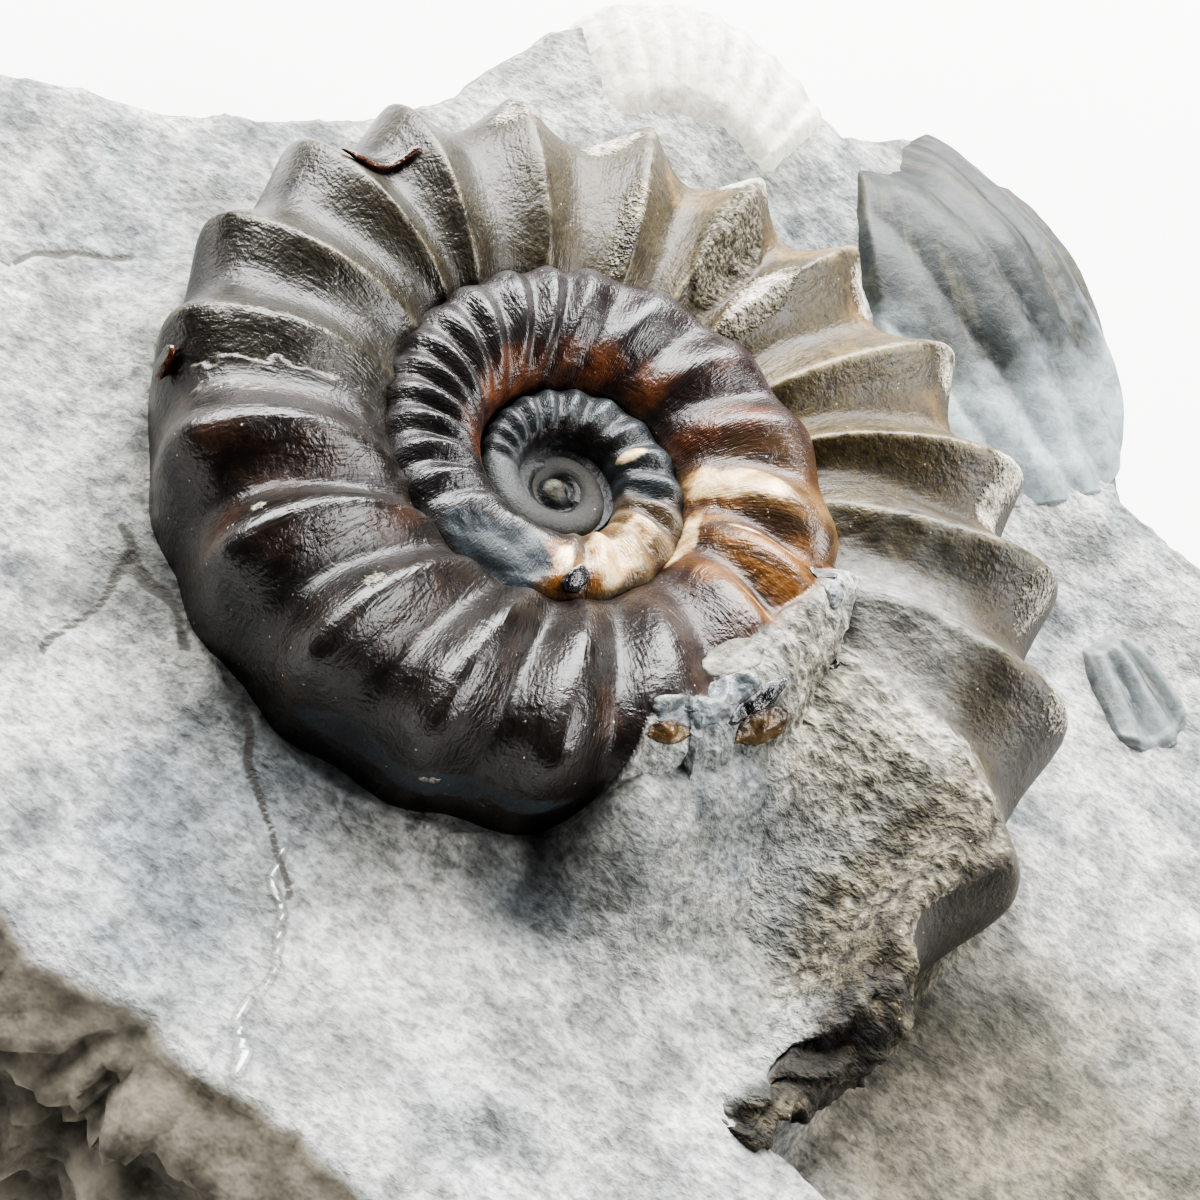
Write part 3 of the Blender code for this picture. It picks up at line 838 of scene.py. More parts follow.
def flake(name, middle, long_axis, wide_axis, raised, thick, tilt, seed):
    """Rings of a disc on the coil: place = middle + share of the two axes; the rim is a
    worn polygon, the top flat, the far side tilted up, the underside sunk in the shell."""
    turn = np.linspace(0.0, math.tau, 60, endpoint=False)[None, :]
    outwards = np.linspace(0.08, 1.0, TOP_RINGS)
    share = np.concatenate([outwards, np.linspace(1.0, 0.08, UNDER_RINGS)])[:, None]
    top = np.concatenate([np.ones(TOP_RINGS), np.zeros(UNDER_RINGS)])[:, None]
    circle = np.stack([np.cos(turn), np.sin(turn), 0.0 * turn + seed], axis=-1)
    corner = math.pi / (4 + seed % 3)
    ragged = math.cos(corner) / np.cos(np.mod(turn + seed, 2.0 * corner) - corner)
    ragged = 0.75 + 0.3 * ragged + 0.14 * noise(circle, 0.9, seed)
    ragged = ragged + 0.10 * noise(circle, 0.35, seed + 5)
    u, v = share * ragged * np.cos(turn), share * ragged * np.sin(turn)
    angle = middle[0] + long_axis[0] * u + wide_axis[0] * v
    section = middle[1] + long_axis[1] * u + wide_axis[1] * v
    body = raised + thick * np.sqrt(np.clip(1.02 - share ** 10, 0.0, 1.0)) + tilt * v
    lift = top * body + (1.0 - top) * (raised + tilt * v - SUNK * (1.0 - share))
    normal = place(angle, np.cos(np.radians(section)), np.sin(np.radians(section)))
    points = coil_surface(angle, section)[0] + lift[..., None] * normal
    points = points + 0.05 * top[..., None] * rough(points, 0.9, seed, 3)[..., None]
    return loops_to_mesh(name, points, {"rim": share * (0.8 + 0.25 * np.sin(turn))})


flakes = {values[0]: flake(*values) for values in FLAKES}

# %% [markdown]
# ## The plugged centre
# The first turns of the shell, less than a millimetre wide, are hidden under a plug of dark
# mud, on which only the round first chamber and the groove that winds about it show. A
# shallow dish with a knob gives both, as one sheet of rings closed underneath.

# %% The plugged centre
PLUG_RADIUS = 2.35
PLUG_LEVEL = COIL_LEVEL + 0.95
PLUG_DEPTH = 1.4
CHAMBER_HEIGHT, CHAMBER_RADIUS = 0.34, 0.38
GROOVE_DEPTH, OUTER_GROOVE_DEPTH = 0.26, 0.20
GROOVE_PITCH = 0.36         # mm that the groove moves outwards in one turn


def centre_plug(rings, spokes):
    """A shallow dish: height rises with the square of the distance; the first chamber is a
    bell in the middle, and the groove about it is a bell across a line that winds outwards."""
    share = np.concatenate([np.linspace(0.02, 1.0, rings), [1.0, 0.6, 0.1]])[:, None]
    down = np.concatenate([np.zeros(rings), np.full(3, PLUG_DEPTH)])[:, None]
    turn = np.linspace(0.0, math.tau, spokes, endpoint=False)[None, :]
    r = PLUG_RADIUS * share
    x, y = r * np.cos(turn), r * np.sin(turn)
    flat = np.stack([x, y, 0.0 * x], axis=-1)
    wind = r - GROOVE_PITCH * turn / math.tau
    knob = CHAMBER_HEIGHT * np.exp(-(r / CHAMBER_RADIUS) ** 2)
    knob = knob - GROOVE_DEPTH * np.exp(-((wind - 0.55) / 0.2) ** 2)
    fading = 0.5 + 0.5 * np.cos(turn - 1.0)
    knob = knob - OUTER_GROOVE_DEPTH * fading * np.exp(-((wind - 1.35) / 0.24) ** 2)
    z = PLUG_LEVEL + 0.25 * share ** 2 + knob + 0.03 * rough(flat, 0.9, 91, 4) - down
    dark = np.clip(0.95 - 2.2 * knob + 0.2 * noise(flat, 0.8, 94), 0.0, 1.0)
    return loops_to_mesh("centre_plug", np.stack([x, y, z], axis=-1), {"rim": dark})


plug = centre_plug(30, 90)

# %% [markdown]
# ## Marks on the stone
# A thin vein of white calcite and a few hair cracks run over the top, and a narrow gap was
# cleaned out along the near side of the coil. A vein or crack is a broken line with a bell
# across it, and noise moves the points that are asked, which makes the line crooked.

# %% Marks on the stone
VEIN_HEIGHT, VEIN_WIDTH = 0.10, 0.22        # mm
CRACK_DEPTH, CRACK_WIDTH = 0.16, 0.16
GAP_DEPTH, WIDE_GAP_DEPTH = 0.12, 0.6
VEIN = ((-0.9, -17.4), (0.6, -19.3), (1.5, -21.1), (1.3, -22.8), (2.2, -24.5))
CRACKS = (
    ((-4.4, -14.0), (-3.5, -15.2), (-2.2, -16.2), (-0.9, -17.4), (0.4, -18.6)),
    ((-7.2, -13.4), (-8.0, -12.4), (-10.0, -11.4), (-11.6, -10.6)),
    ((-10.8, -11.2), (-10.6, -13.4), (-10.9, -15.6)),
    ((-25.0, -4.0), (-22.0, -3.0), (-20.5, -0.5), (-18.8, 0.6)),
)


def line_closeness(x, y, corners, width, seed):
    """e to the minus squared distance from a broken line, which noise makes crooked."""
    flat = np.stack([x, y, 0.0 * x], axis=-1)
    px = x + 0.45 * noise(flat, 1.6, seed)
    py = y + 0.45 * noise(flat, 1.6, seed + 1)
    nearest = np.full(x.shape, 99.0)
    for (ax, ay), (bx, by) in zip(corners[:-1], corners[1:]):
        dx, dy = bx - ax, by - ay
        t = np.clip(((px - ax) * dx + (py - ay) * dy) / (dx * dx + dy * dy), 0.0, 1.0)
        nearest = np.minimum(nearest, np.hypot(px - ax - t * dx, py - ay - t * dy))
    return np.exp(-(nearest / width) ** 2)


def cleaned_gap(x, y):
    """Depth of the gap beside the shell, in millimetres: a bell across it, widest under the
    darkest part of the wall."""
    flat = np.stack([x, y, 0.0 * x], axis=-1)
    out = outer_wall(x, y) + 0.22 * noise(flat, 2.6, 71)
    near = smooth((-y - 1.0 - 0.3 * x) / 5.0) * smooth((9.0 - x) / 3.0)
    wide = hump(x, y, -1.0, -21.0, 11.0, 7.0)
    bell = np.exp(-((out + 0.05 - 0.15 * wide) / (0.24 + 0.26 * wide)) ** 2)
    return (GAP_DEPTH + WIDE_GAP_DEPTH * wide) * near * bell


vein_length = sum(math.dist(a, b) for a, b in zip(VEIN[:-1], VEIN[1:]))
print("length of the vein, mm:", round(vein_length, 1), "and cracks:", len(CRACKS))

# %% [markdown]
# ## The limestone block
# The block was split by hand: a fairly flat top with soft undulations, and rough broken
# sides that flare towards the underside. The top adds fine lumps and its marks to the level
# found above. The sides break in ledges, so their relief is a saw-tooth of a noisy height.

# %% Top and sides of the block
SIDE_LUMPS, LEDGE_DEPTH = 1.1, 1.6          # mm
BEDDING = np.array([[0.8, 0.0, 0.5], [0.0, 0.8, 0.0], [-0.6, 0.0, 1.5]])   # slants the ledges


def slab_detail(points):
    """Soft lumps, chisel marks and grain of the upper surface."""
    stretched = points * np.array([1.0, 0.55, 1.0])
    return 0.13 * rough(points, 2.6, 51, 4, 0.6) + 0.07 * rough(stretched, 0.9, 57, 3, 0.6)


def side_flare(angle):
    """How far the underside reaches beyond the upper edge: most on the near side."""
    return 0.8 + 7.0 * (0.5 - 0.5 * np.sin(angle)) ** 2


def broken_relief(points, angle):
    """Millimetres that the broken side stands out: lumps, and ledges that ease out and jump
    back each time a noisy height passes a whole number."""
    slanted = points @ BEDDING
    step = 1.6 * rough(slanted, 6.5, 33, 4, 0.5) + 0.24 * points[..., 2] + 3.0 * np.cos(3.0 * angle)
    part = step - np.floor(step)
    ledges = smooth(2.6 * part) - part
    return SIDE_LUMPS * rough(slanted, 6.0, 21, 5, 0.55) + LEDGE_DEPTH * (ledges - 0.25)


def slab_top(angle, edge, part):
    """Upper surface: its height, less the gap and the cracks, plus the vein and fine lumps."""
    x, y = part * edge * np.cos(angle), part * edge * np.sin(angle)
    z = slab_height(x, y) - cleaned_gap(x, y)
    z = z + slab_detail(np.stack([x, y, z], axis=-1))
    for i, corners in enumerate(CRACKS):
        z = z - CRACK_DEPTH * line_closeness(x, y, corners, CRACK_WIDTH, 400 + 3 * i)
    z = z + VEIN_HEIGHT * line_closeness(x, y, VEIN, VEIN_WIDTH, 500)
    return np.stack([x, y, z - 0.22 * smooth((part - 0.985) / 0.015)], axis=-1)


flare = side_flare(compass)
print("the underside reaches out by, mm:", np.round(flare, 1), "to each side")

# %% [markdown]
# ## One sheet for the block
# The block's surface is one polar sheet: rings run out over the top, over the broken edge,
# down the sides and back to the middle of the flat underside, so that no edge is open.
# Each point also keeps how broken and how hollow the stone is there, and its marks, for the
# material to paint.

# %% Limestone surface
def slab_rows(spokes, top_rings, side_rings):
    """Loops out over the top, down the broken side and in under the block, with the share
    of broken stone and of deep hollow at each point."""
    angle = np.arange(spokes) * math.tau / spokes
    edge = slab_edge(angle)
    rim = np.stack([edge * np.cos(angle), edge * np.sin(angle), 0.0 * angle], axis=-1)
    edge = edge - 0.3 + 0.5 * rough(rim, 3.0, 61, 5, 0.6)
    part = np.concatenate([np.linspace(0.03, 0.33, 6), np.linspace(0.35, 1.0, top_rings)])[:, None]
    top = slab_top(angle, edge, part)
    drop = np.linspace(0.0, 1.0, side_rings + 1)[1:, None] ** 1.1
    height = top[-1, :, 2] * (1.0 - drop)
    out = edge + side_flare(angle) * drop ** 0.7
    raw = np.stack([out * np.cos(angle), out * np.sin(angle), height], axis=-1)
    relief = broken_relief(raw, angle)
    out = out + relief * smooth(drop * 7.0) * smooth((1.02 - drop) * 4.0) - 0.3 - 0.5 * drop
    side = np.stack([out * np.cos(angle), out * np.sin(angle), np.maximum(height, 0.0)], axis=-1)
    under = np.array([0.97, 0.6, 0.2])[:, None, None]
    base = side[-1] * under * np.array([1.0, 1.0, 0.0])
    edge_share = smooth((part - 0.988) / 0.012) * np.ones(spokes)
    broken = np.concatenate([edge_share, np.ones((side_rings + 3, spokes))])
    hollow = np.concatenate([np.zeros(top.shape[:2]), smooth(0.25 - 0.75 * relief),
                             np.full(base.shape[:2], 0.5)])
    return np.concatenate([top, side, base]), broken, hollow


rows, broken, hollow = slab_rows(560, 112, 44)
ground_x, ground_y = rows[..., 0], rows[..., 1]
near_wall = np.exp(-np.abs(outer_wall(ground_x, ground_y)) / 1.6)
stone_values = {
    "tint": stone_tint(ground_x, ground_y),
    "step_shade": stone_step_shade(ground_x, ground_y),
    # Painted shadow: the deepest part of the gap beside the shell is painted near black.
    "gap": np.clip(cleaned_gap(ground_x, ground_y) * 1.3 - 0.12, 0.0, 1.0),
    "shade": near_wall * smooth((9.0 - ground_x) / 4.0),
    "vein": line_closeness(ground_x, ground_y, VEIN, 0.17, 500),
    "crack": sum(line_closeness(ground_x, ground_y, corners, 0.2, 400 + 3 * i)
                 for i, corners in enumerate(CRACKS)),
}
stone_values = {name: share * (1.0 - broken) for name, share in stone_values.items()}
stone_values.update(broken=broken, hollow=hollow)
limestone_block = loops_to_mesh("limestone_block", rows, stone_values)

# %% [markdown]
# ## The smaller shells
# Three pieces of scallop-like shells lie in the same bed: a pale fan behind the ammonite, a
# blue-grey one with coarse ribs, and a chip at the right. Each is a thin bedded plate whose
# ribs spread from an apex. The plate is a closed loop of its upper and lower face, carried
# from one side of the fan to the other.

# %% Shell plates
# Lengths are millimetres and angles degrees. `start` is where the plate begins on the way
# out from its apex, as a part of its length. `ribs` counts them over the plate, or, where a
# far point `rib_apex` is given, is half their number in each degree seen from there. The
# sinks say how steeply each side dips into the stone.
FAN = {
    "apex": (-1.6, 16.0), "axis": 110.0, "spread": 64.0, "start": 0.45, "length": 15.9,
    "taper": 0.0, "ribs": 10, "rib_height": 0.11, "dome": 0.15, "rumple": 0.06,
    "left_sink": 3.0, "right_sink": 4.0, "rib_apex": None, "far_side": None,
}
RIBBED = {
    "apex": (-8.2, 40.8), "axis": -37.2, "spread": 32.0, "start": 0.4, "length": 35.0,
    "taper": 0.5, "ribs": 0.115, "rib_height": 0.17, "dome": 1.0, "rumple": 0.05,
    "left_sink": 30.0, "right_sink": 7.0, "rib_apex": (45.4, 7.0, 155.0),
    "far_side": (16.0, 22.6, 19.0, 14.6, 9.5),
}
CHIP = {
    "apex": (20.6, 15.4), "axis": -27.0, "spread": 42.0, "start": 0.25, "length": 8.5,
    "taper": 0.3, "ribs": 3, "rib_height": 0.16, "dome": 0.5, "rumple": 0.06,
    "left_sink": 8.0, "right_sink": 8.0, "rib_apex": None, "far_side": None,
}
SHELL_PROUD = 0.35          # mm of the plate's thickness that shows
SHELL_DEPTH = 1.0           # mm from the stone's surface to its hidden underside
UNDERSIDE_STEP = 16         # the hidden side needs few points


def fan_place(shell, across, along):
    """Ground point: a distance along the ray that leaves the apex at the shared angle."""
    rounding = 1.0 - 0.14 * np.abs(across) ** 2.5 * along
    reach = (shell["start"] + (1.0 - shell["start"]) * along) * shell["length"] * rounding
    tapered = (across < 0.0) | (along < 0.5)
    narrowing = 1.0 - shell["taper"] * (2.0 * along - 1.0) ** 2 * tapered
    swing = -across * narrowing * shell["spread"] / 2.0
    if shell["far_side"]:
        places = np.linspace(0.0, 1.0, len(shell["far_side"]))
        far = np.interp(along, places, shell["far_side"])
        swing = np.where(across < 0.0, -across * far, swing)
    turn = np.radians(shell["axis"] + swing)
    return shell["apex"][0] + reach * np.cos(turn), shell["apex"][1] + reach * np.sin(turn)


def oblique_ribs(shell, x, y, drift):
    """Broad ribs with narrow grooves that run askew: each keeps its bearing from a far point."""
    away_x, away_y, bearing = shell["rib_apex"]
    off = np.degrees(np.arctan2(y - away_y, x - away_x)) - bearing + 3.0 * drift
    phase = off * shell["ribs"] * 2.0
    return 2.0 * (np.sqrt(np.sin(np.pi * phase) ** 2 + 0.02) - 0.14) / 0.87 - 1.0


def shell_plate(name, shell, columns, rows_count, seed):
    """A closed plate: the ribbed face, then back along the bedded underside."""
    across = np.linspace(-1.0, 1.0, columns)[:, None]
    along = np.linspace(0.0, 1.0, rows_count)[None, :]
    x, y = fan_place(shell, across, along)
    ground = slab_height(x, y)
    flat = np.stack([x, y, ground], axis=-1)
    drift = 0.25 * noise(flat, 6.0, seed) + 0.05 * noise(flat, 1.5, seed + 1)
    if shell["rib_apex"]:
        rib = oblique_ribs(shell, x, y, drift)
    else:
        rib = np.cos(np.pi * (across + drift * 0.12) * shell["ribs"])
        rib = rib * np.minimum(along * 2.0, 1.0)
    dome = shell["dome"] * (1.0 - across ** 2) * np.sin(np.pi * np.minimum(along + 0.12, 1.0))
    margin = np.minimum((1.0 - along) * 12.0, (1.0 - np.abs(across)) * 12.0)
    body = SHELL_PROUD * smooth(margin + 0.15) + dome + shell["rib_height"] * rib
    shown = smooth((along + 0.24 * np.maximum(-across, 0.0) * bool(shell["far_side"])) * 4.0)
    shown = shown * smooth((across + 1.0) * shell["left_sink"])
    shown = shown * smooth((1.0 - across) * shell["right_sink"])
    top = ground + mixed(-0.6, body, shown)
    top = top + shell["rumple"] * rough(flat, 2.0, seed + 4, 4, 0.5)
    upper = np.stack([x, y, top], axis=-1)
    back = slice(None, None, -UNDERSIDE_STEP)
    lower = np.stack([x, y, ground - SHELL_DEPTH], axis=-1)[:, back]
    loops = np.concatenate([upper, lower], axis=1)
    values = {"rib": 0.5 + 0.5 * rib, "along": along + 0.0 * across, "across": across + 0.0 * along}
    values = {key: np.concatenate([v, v[:, back]], axis=1) for key, v in values.items()}
    return loops_to_mesh(name, loops, values)


fan_shell = shell_plate("fan_shell_plate", FAN, 200, 113, 201)
ribbed_shell = shell_plate("ribbed_shell_plate", RIBBED, 170, 193, 301)
shell_chip = shell_plate("shell_chip_plate", CHIP, 90, 81, 401)

# %% [markdown]
# ## Limestone
# Limestone is lime mud turned to rock: calcite grains too small to see. That gives the eye
# a dead matt, chalky grey with bluish clouds a few millimetres wide and a fine woolly
# grain. Freshly broken sides are browner and darker than the cleaned top. The mud in the
# shell is the same stone, so both materials share one function, and where the two meet the
# `tint` value makes them the same brown.

# %% Limestone material
CLOUD_SIZE = 8.0 * MM
PATCH_SIZE = 2.6 * MM
WOOL_SIZE = 0.38 * MM
WOOL_STRETCH = 0.55         # the cleaning drew the grain out into short streaks
WOOL_BEARING = math.radians(35.0)
GRAIN_SIZE = 0.24 * MM      # real grains are under 0.05 mm; drawn coarse enough to show
BREAK_SIZE = 2.2 * MM
STONE_GRAIN_DEPTH = 0.24 * MM
STONE_MARKS = (             # value on the points, colour, share of the colour by that value
    ("vein", "#45443f", ((0.14, 0.0), (0.40, 0.5), (0.62, 0.2))),
    ("vein", "#e6edf0", ((0.78, 0.0), (0.94, 0.85))),
    ("crack", "#3f3c38", ((0.42, 0.0), (0.72, 0.85))),
)


def stone_look(add, vector):
    """Colour and height of the stone: clouds, woolly streaks and grain, browned by `tint`."""
    tint = add("Attribute", out="Fac", attribute_name="tint")
    cloud = add("TexNoise", Vector=vector, Scale=1.0 / CLOUD_SIZE, Detail=3.0, Roughness=0.62,
                Distortion=0.4)
    patch = add("TexNoise", Vector=vector, Scale=1.0 / PATCH_SIZE, Detail=2.0, Roughness=0.6)
    drawn = add("Mapping", Vector=vector, Rotation=(0.0, 0.0, WOOL_BEARING),
                Scale=(WOOL_STRETCH, 1.0, 1.0))
    wool = add("TexNoise", Vector=drawn, Scale=1.0 / WOOL_SIZE, Detail=3.0, Roughness=0.62,
               Distortion=0.3)
    grain = add("TexNoise", Vector=vector, Scale=1.0 / GRAIN_SIZE, Detail=1.0, Roughness=0.7)
    grey = add("ValToRGB", cloud, stops=((0.34, "#8b9195"), (0.44, "#adb0af"), (0.55, "#c2c2be"),
                                         (0.66, "#abadab")))
    grey = wash(add, grey, 0.85, patch, (0.36, "#a2a5a5"), (0.62, "#ffffff"))
    lumps = add("Math", cloud, wool, operation="ADD")
    lumps = add("Math", lumps, 0.5, operation="MULTIPLY")
    browned = add("Math", tint, 0.92, operation="MULTIPLY")
    colour = coat(add, grey, browned, lumps, (0.38, "#453f31"), (0.5, "#716956"), (0.6, "#aaa391"))
    woolly = add("Math", tint, 0.3, 0.65, operation="MULTIPLY_ADD")
    colour = wash(add, colour, woolly, wool, (0.34, "#8c8b88"), (0.45, "#c4c3c0"),
                  (0.54, "#efeeeb"), (0.62, "#ffffff"))
    colour = wash(add, colour, 0.4, grain, (0.32, "#6f6c68"), (0.5, "#dcdad6"), (0.66, "#ffffff"))
    fine = add("Math", grain, 0.25, operation="MULTIPLY")
    return colour, add("Math", wool, 0.75, fine, operation="MULTIPLY_ADD")


def make_limestone():
    """The stone's look, then the broken sides with painted shade in their hollows, painted shade
    on the lower step and beside the wall, a painted shadow in the gap, the vein and cracks.
    """
    material, add = new_material("limestone")
    vector = add("TexCoord", out="Object")
    colour, height = stone_look(add, vector)
    value = {name: add("Attribute", out="Fac", attribute_name=name)
             for name in ("broken", "hollow", "shade", "gap", "step_shade", "vein", "crack")}
    fresh = add("TexNoise", Vector=vector, Scale=1.0 / BREAK_SIZE, Detail=4.0, Roughness=0.7)
    ledge = add("ValToRGB", fresh, stops=((0.35, "#48443a"), (0.62, "#857f72")))
    # Painted shade: the hollows of the broken sides are painted near black.
    ledge = coat(add, ledge, value["hollow"], fresh, (0.35, "#1f1c17"), (0.62, "#47423a"))
    colour = add("MixRGB", value["broken"], colour, ledge)
    height = add("MixRGB", value["broken"], height, fresh)
    shade = add("Math", value["shade"], 0.55, operation="MULTIPLY")
    colour = add("MixRGB", shade, colour, "#77736b", blend_type="MULTIPLY")
    # Painted shadow: the deepest part of the gap is painted near black.
    colour = add("MixRGB", value["gap"], colour, "#0e0c0a")
    # Painted shade on the lower step: a warm grey multiplied into the stone.
    step_shade = add("Math", value["step_shade"], 0.95, operation="MULTIPLY")
    colour = add("MixRGB", step_shade, colour, "#a39a89", blend_type="MULTIPLY")
    ragged = add("Math", fresh, 0.8, -0.4, operation="MULTIPLY_ADD")
    for name, paint, stops in STONE_MARKS:
        edge = add("Math", value[name], ragged, operation="ADD")
        share = add("ValToRGB", edge, stops=stops)
        colour = add("MixRGB", share, colour, paint)
    return finish_material(material, colour, 0.88, 1.5, height, STONE_GRAIN_DEPTH, 0.75)


limestone = make_limestone()

# %% [markdown]
# ## Sparry calcite
# The ammonite's shell has become coarse calcite, polished by cleaning. Iron and organic
# matter colour it: near black where it is thick, red-brown and amber where light passes
# through a thin part, and cream where it is nearly pure. Where the shell has flaked off, a
# satin mould of hard mud is left, taupe to olive grey. A glassy surface over dark colour
# gives the eye long soft highlights, broken up by fine growth lines and wrinkles.
# The tones are listed along the coil, so that one ramp paints each layer.

# %% Tones along the coil
SHELL_TONES = (             # angle along the coil, on the crests, in the hollows
    (190, "#1e1712", "#160c06"), (300, "#1c1510", "#140b06"), (330, "#35231a", "#1f0f08"),
    (365, "#4a3420", "#2c170a"), (385, "#7a5f3c", "#5a3c1c"), (405, "#38241c", "#220f08"),
    (440, "#2f2929", "#1b0e0a"), (600, "#2a2728", "#100b09"), (650, "#3c3b3a", "#211e1b"),
    (690, "#8a7450", "#543a1c"), (745, "#363c3f", "#171b1e"), (900, "#343a3d", "#0f1214"),
    (985, "#282723", "#141311"), (1100, "#2a2824", "#171614"), (1400, "#33312c", "#1f1d1a"),
)
MOULD_CRESTS = ((-45, "#3c3422"), (18, "#3d3623"), (50, "#625532"), (110, "#4e452c"),
                (140, "#3d3626"), (205, "#2d281c"))
MOULD_HOLLOWS = ((-45, "#37301d"), (20, "#3f351f"), (60, "#4f4222"), (110, "#493e22"),
                 (140, "#2c2616"), (205, "#1f1b12"))
CREST_WEAR_AND_SHEEN = ((10, 0.15), (36, 1.0), (112, 1.0), (128, 0.25))     # how strongly the crests are painted pale: scuffs and a painted highlight
GLOSS = (                   # angle along the coil, roughness of the surface
    (-45, 0.50), (60, 0.44), (110, 0.42), (140, 0.35), (205, 0.33), (215, 0.32), (330, 0.32),
    (420, 0.31), (700, 0.28), (900, 0.38), (1000, 0.75), (1400, 0.8),
)
STAIN_PAINT = (             # value on the points, darker tone, lighter tone, crispness
    ("gold", "#4d3d1e", "#8a7142", 1.6), ("ochre", "#2b1708", "#80572a", 2.0),
    ("amber", "#120803", "#38200f", 1.5), ("rust", "#271106", "#64391c", 1.3),
    ("cream", "#8a6030", "#dcc9a0", 2.6), ("slate", "#1f262a", "#2d3439", 6.0),
    ("dark", "#060403", "#120c09", 1.6),
)
RAMP_TURNS = 4.4            # turns that the ramps span
RAMP_START = -0.2           # turns, where they begin
TONE_DRIFT = 0.08           # turns by which noise bends the borders between tones


def zones(table):
    """Stops of a ramp from angles along the coil: degrees to turns, then to 0 to 1."""
    return [((degrees / 360.0 - RAMP_START) / RAMP_TURNS, tone) for degrees, tone in table]


print("tones listed on the shell:", len(SHELL_TONES), "stain colours:", len(STAIN_PAINT))

# %% [markdown]
# ## The layers of the calcite
# Each layer is one small function: a stain, the glossy shell, and the satin mould under it.
# Crests and hollows have their own ramps, the hollows darker.

# %% Layers of colour
def stain_mask(add, name, breakup, crispness):
    """A stain's value made ragged and crisp: noise is added, then the step is steepened."""
    stain = add("Attribute", out="Fac", attribute_name=name)
    ragged = add("Math", breakup, 0.9, stain, operation="MULTIPLY_ADD")
    past = add("Math", ragged, 0.77, operation="SUBTRACT")
    return add("Math", past, crispness, operation="MULTIPLY", use_clamp=True)


def shell_colour(add, share, rib, mottle):
    """The glossy layer: one ramp for the crests, one for the hollows, with a soft mottle."""
    angles, crests, hollows = zip(*SHELL_TONES)
    crest = add("ValToRGB", share, stops=zones(zip(angles, crests)))
    hollow = add("ValToRGB", share, stops=zones(zip(angles, hollows)))
    colour = add("MixRGB", rib, hollow, crest)
    return wash(add, colour, 0.6, mottle, (0.34, "#8a8785"), (0.6, "#ffffff"))


def mould_colour(add, share, rib, section, mottle, grit):
    """The satin mould: taupe near the mouth to olive grey, pitted dark, crests pale, partly from
    scuffs and partly as a painted highlight, the outer wall painted darker as shade."""
    crest = add("ValToRGB", share, stops=zones(MOULD_CRESTS))
    hollow = add("ValToRGB", share, stops=zones(MOULD_HOLLOWS))
    colour = add("MixRGB", rib, hollow, crest)
    colour = wash(add, colour, 0.75, mottle, (0.32, "#6d6a66"), (0.5, "#cfccc7"), (0.66, "#ffffff"))
    colour = wash(add, colour, 0.6, grit, (0.34, "#55514b"), (0.48, "#e9e7e4"), (0.7, "#ffffff"))
    # Painted shade: the mould is painted darker towards the outer wall.
    colour = wash(add, colour, 0.8, section, (0.05, "#4a443a"), (0.36, "#ffffff"))
    # Pale crest lines: partly scuffs, partly a painted highlight along the crests.
    pale_wear_and_sheen = add("ValToRGB", rib, stops=((0.90, 0.0), (1.0, 1.0)))
    for value, stops in ((mottle, ((0.42, 0.0), (0.58, 0.6))), (share, zones(CREST_WEAR_AND_SHEEN))):
        pale_wear_and_sheen = add("Math", pale_wear_and_sheen, add("ValToRGB", value, stops=stops), operation="MULTIPLY")
    return add("MixRGB", pale_wear_and_sheen, colour, "#9b9072")


# %% [markdown]
# ## Gloss and wrinkles
# Polished calcite mirrors the light where nothing covers it, and mud does not. Across the
# whorl run growth lines, a few tenths of a millimetre apart, so they follow the coil's own
# angle and not the space around it. Patches of wrinkles break the mirror up.

# %% Roughness and relief
GROWTH_LINES = 520.0        # lumps of noise in a turn, one each 0.27 mm on the outer whorl
CRUMPLE_SIZE = 0.34 * MM
MATT = (0.839, 0.839, 0.839, 1.0)   # roughness of mud and weathered shell


def calcite_roughness(add, share, rib, mottle, slate, matt):
    """Glossy on the crests, a little duller in the hollows and on slate, matt on mud."""
    rough_share = add("ValToRGB", share, stops=zones(GLOSS))
    in_hollow = add("ValToRGB", rib, stops=((0.0, 0.08), (0.42, 0.0)))
    total = add("Math", rough_share, in_hollow, operation="ADD")
    total = add("Math", mottle, 0.35, total, operation="MULTIPLY_ADD")
    total = add("Math", slate, 0.32, total, operation="MULTIPLY_ADD")
    total = add("Math", total, 0.14, operation="SUBTRACT")
    return add("MixRGB", matt, total, MATT)


def calcite_relief(add, turn, section, layer, mottle, vector, grit):
    """Fine growth lines across the whorl, wrinkles in patches, and grit on the mould."""
    across = add("Math", turn, GROWTH_LINES, operation="MULTIPLY")
    round_it = add("Math", section, 15.0, operation="MULTIPLY")
    lines = add("TexNoise", Vector=add("CombineXYZ", X=across, Y=round_it), Scale=1.0, Detail=1.0,
                Roughness=0.6)
    crumple = add("TexNoise", Vector=vector, Scale=1.0 / CRUMPLE_SIZE, Detail=2.0, Roughness=0.6,
                  Distortion=1.0)
    patches = add("ValToRGB", mottle, stops=((0.42, 0.1), (0.58, 1.0)))
    wrinkles = add("Math", crumple, patches, operation="MULTIPLY")
    relief = add("Math", lines, 0.09, operation="MULTIPLY")
    relief = add("Math", wrinkles, 0.13, relief, operation="MULTIPLY_ADD")
    gritty = add("Math", layer, -0.06, 0.069, operation="MULTIPLY_ADD")
    return add("Math", grit, gritty, relief, operation="MULTIPLY_ADD")


# %% [markdown]
# ## The calcite put together
# The material lays its layers over one another as they lie on the fossil: the mould at the
# bottom, the glossy shell, its stains, weathered shell, the ragged edge, dirt in the seams,
# mud, the scab and the dark stub, and a little dust on top.

# %% Calcite material
MOTTLE_SIZE = 1.3 * MM
GRIT_SIZE = 0.2 * MM        # finer in the stone; drawn as coarse as it needs to show
DUST_SPACING = 0.55 * MM
WRINKLE_DEPTH = 0.40 * MM


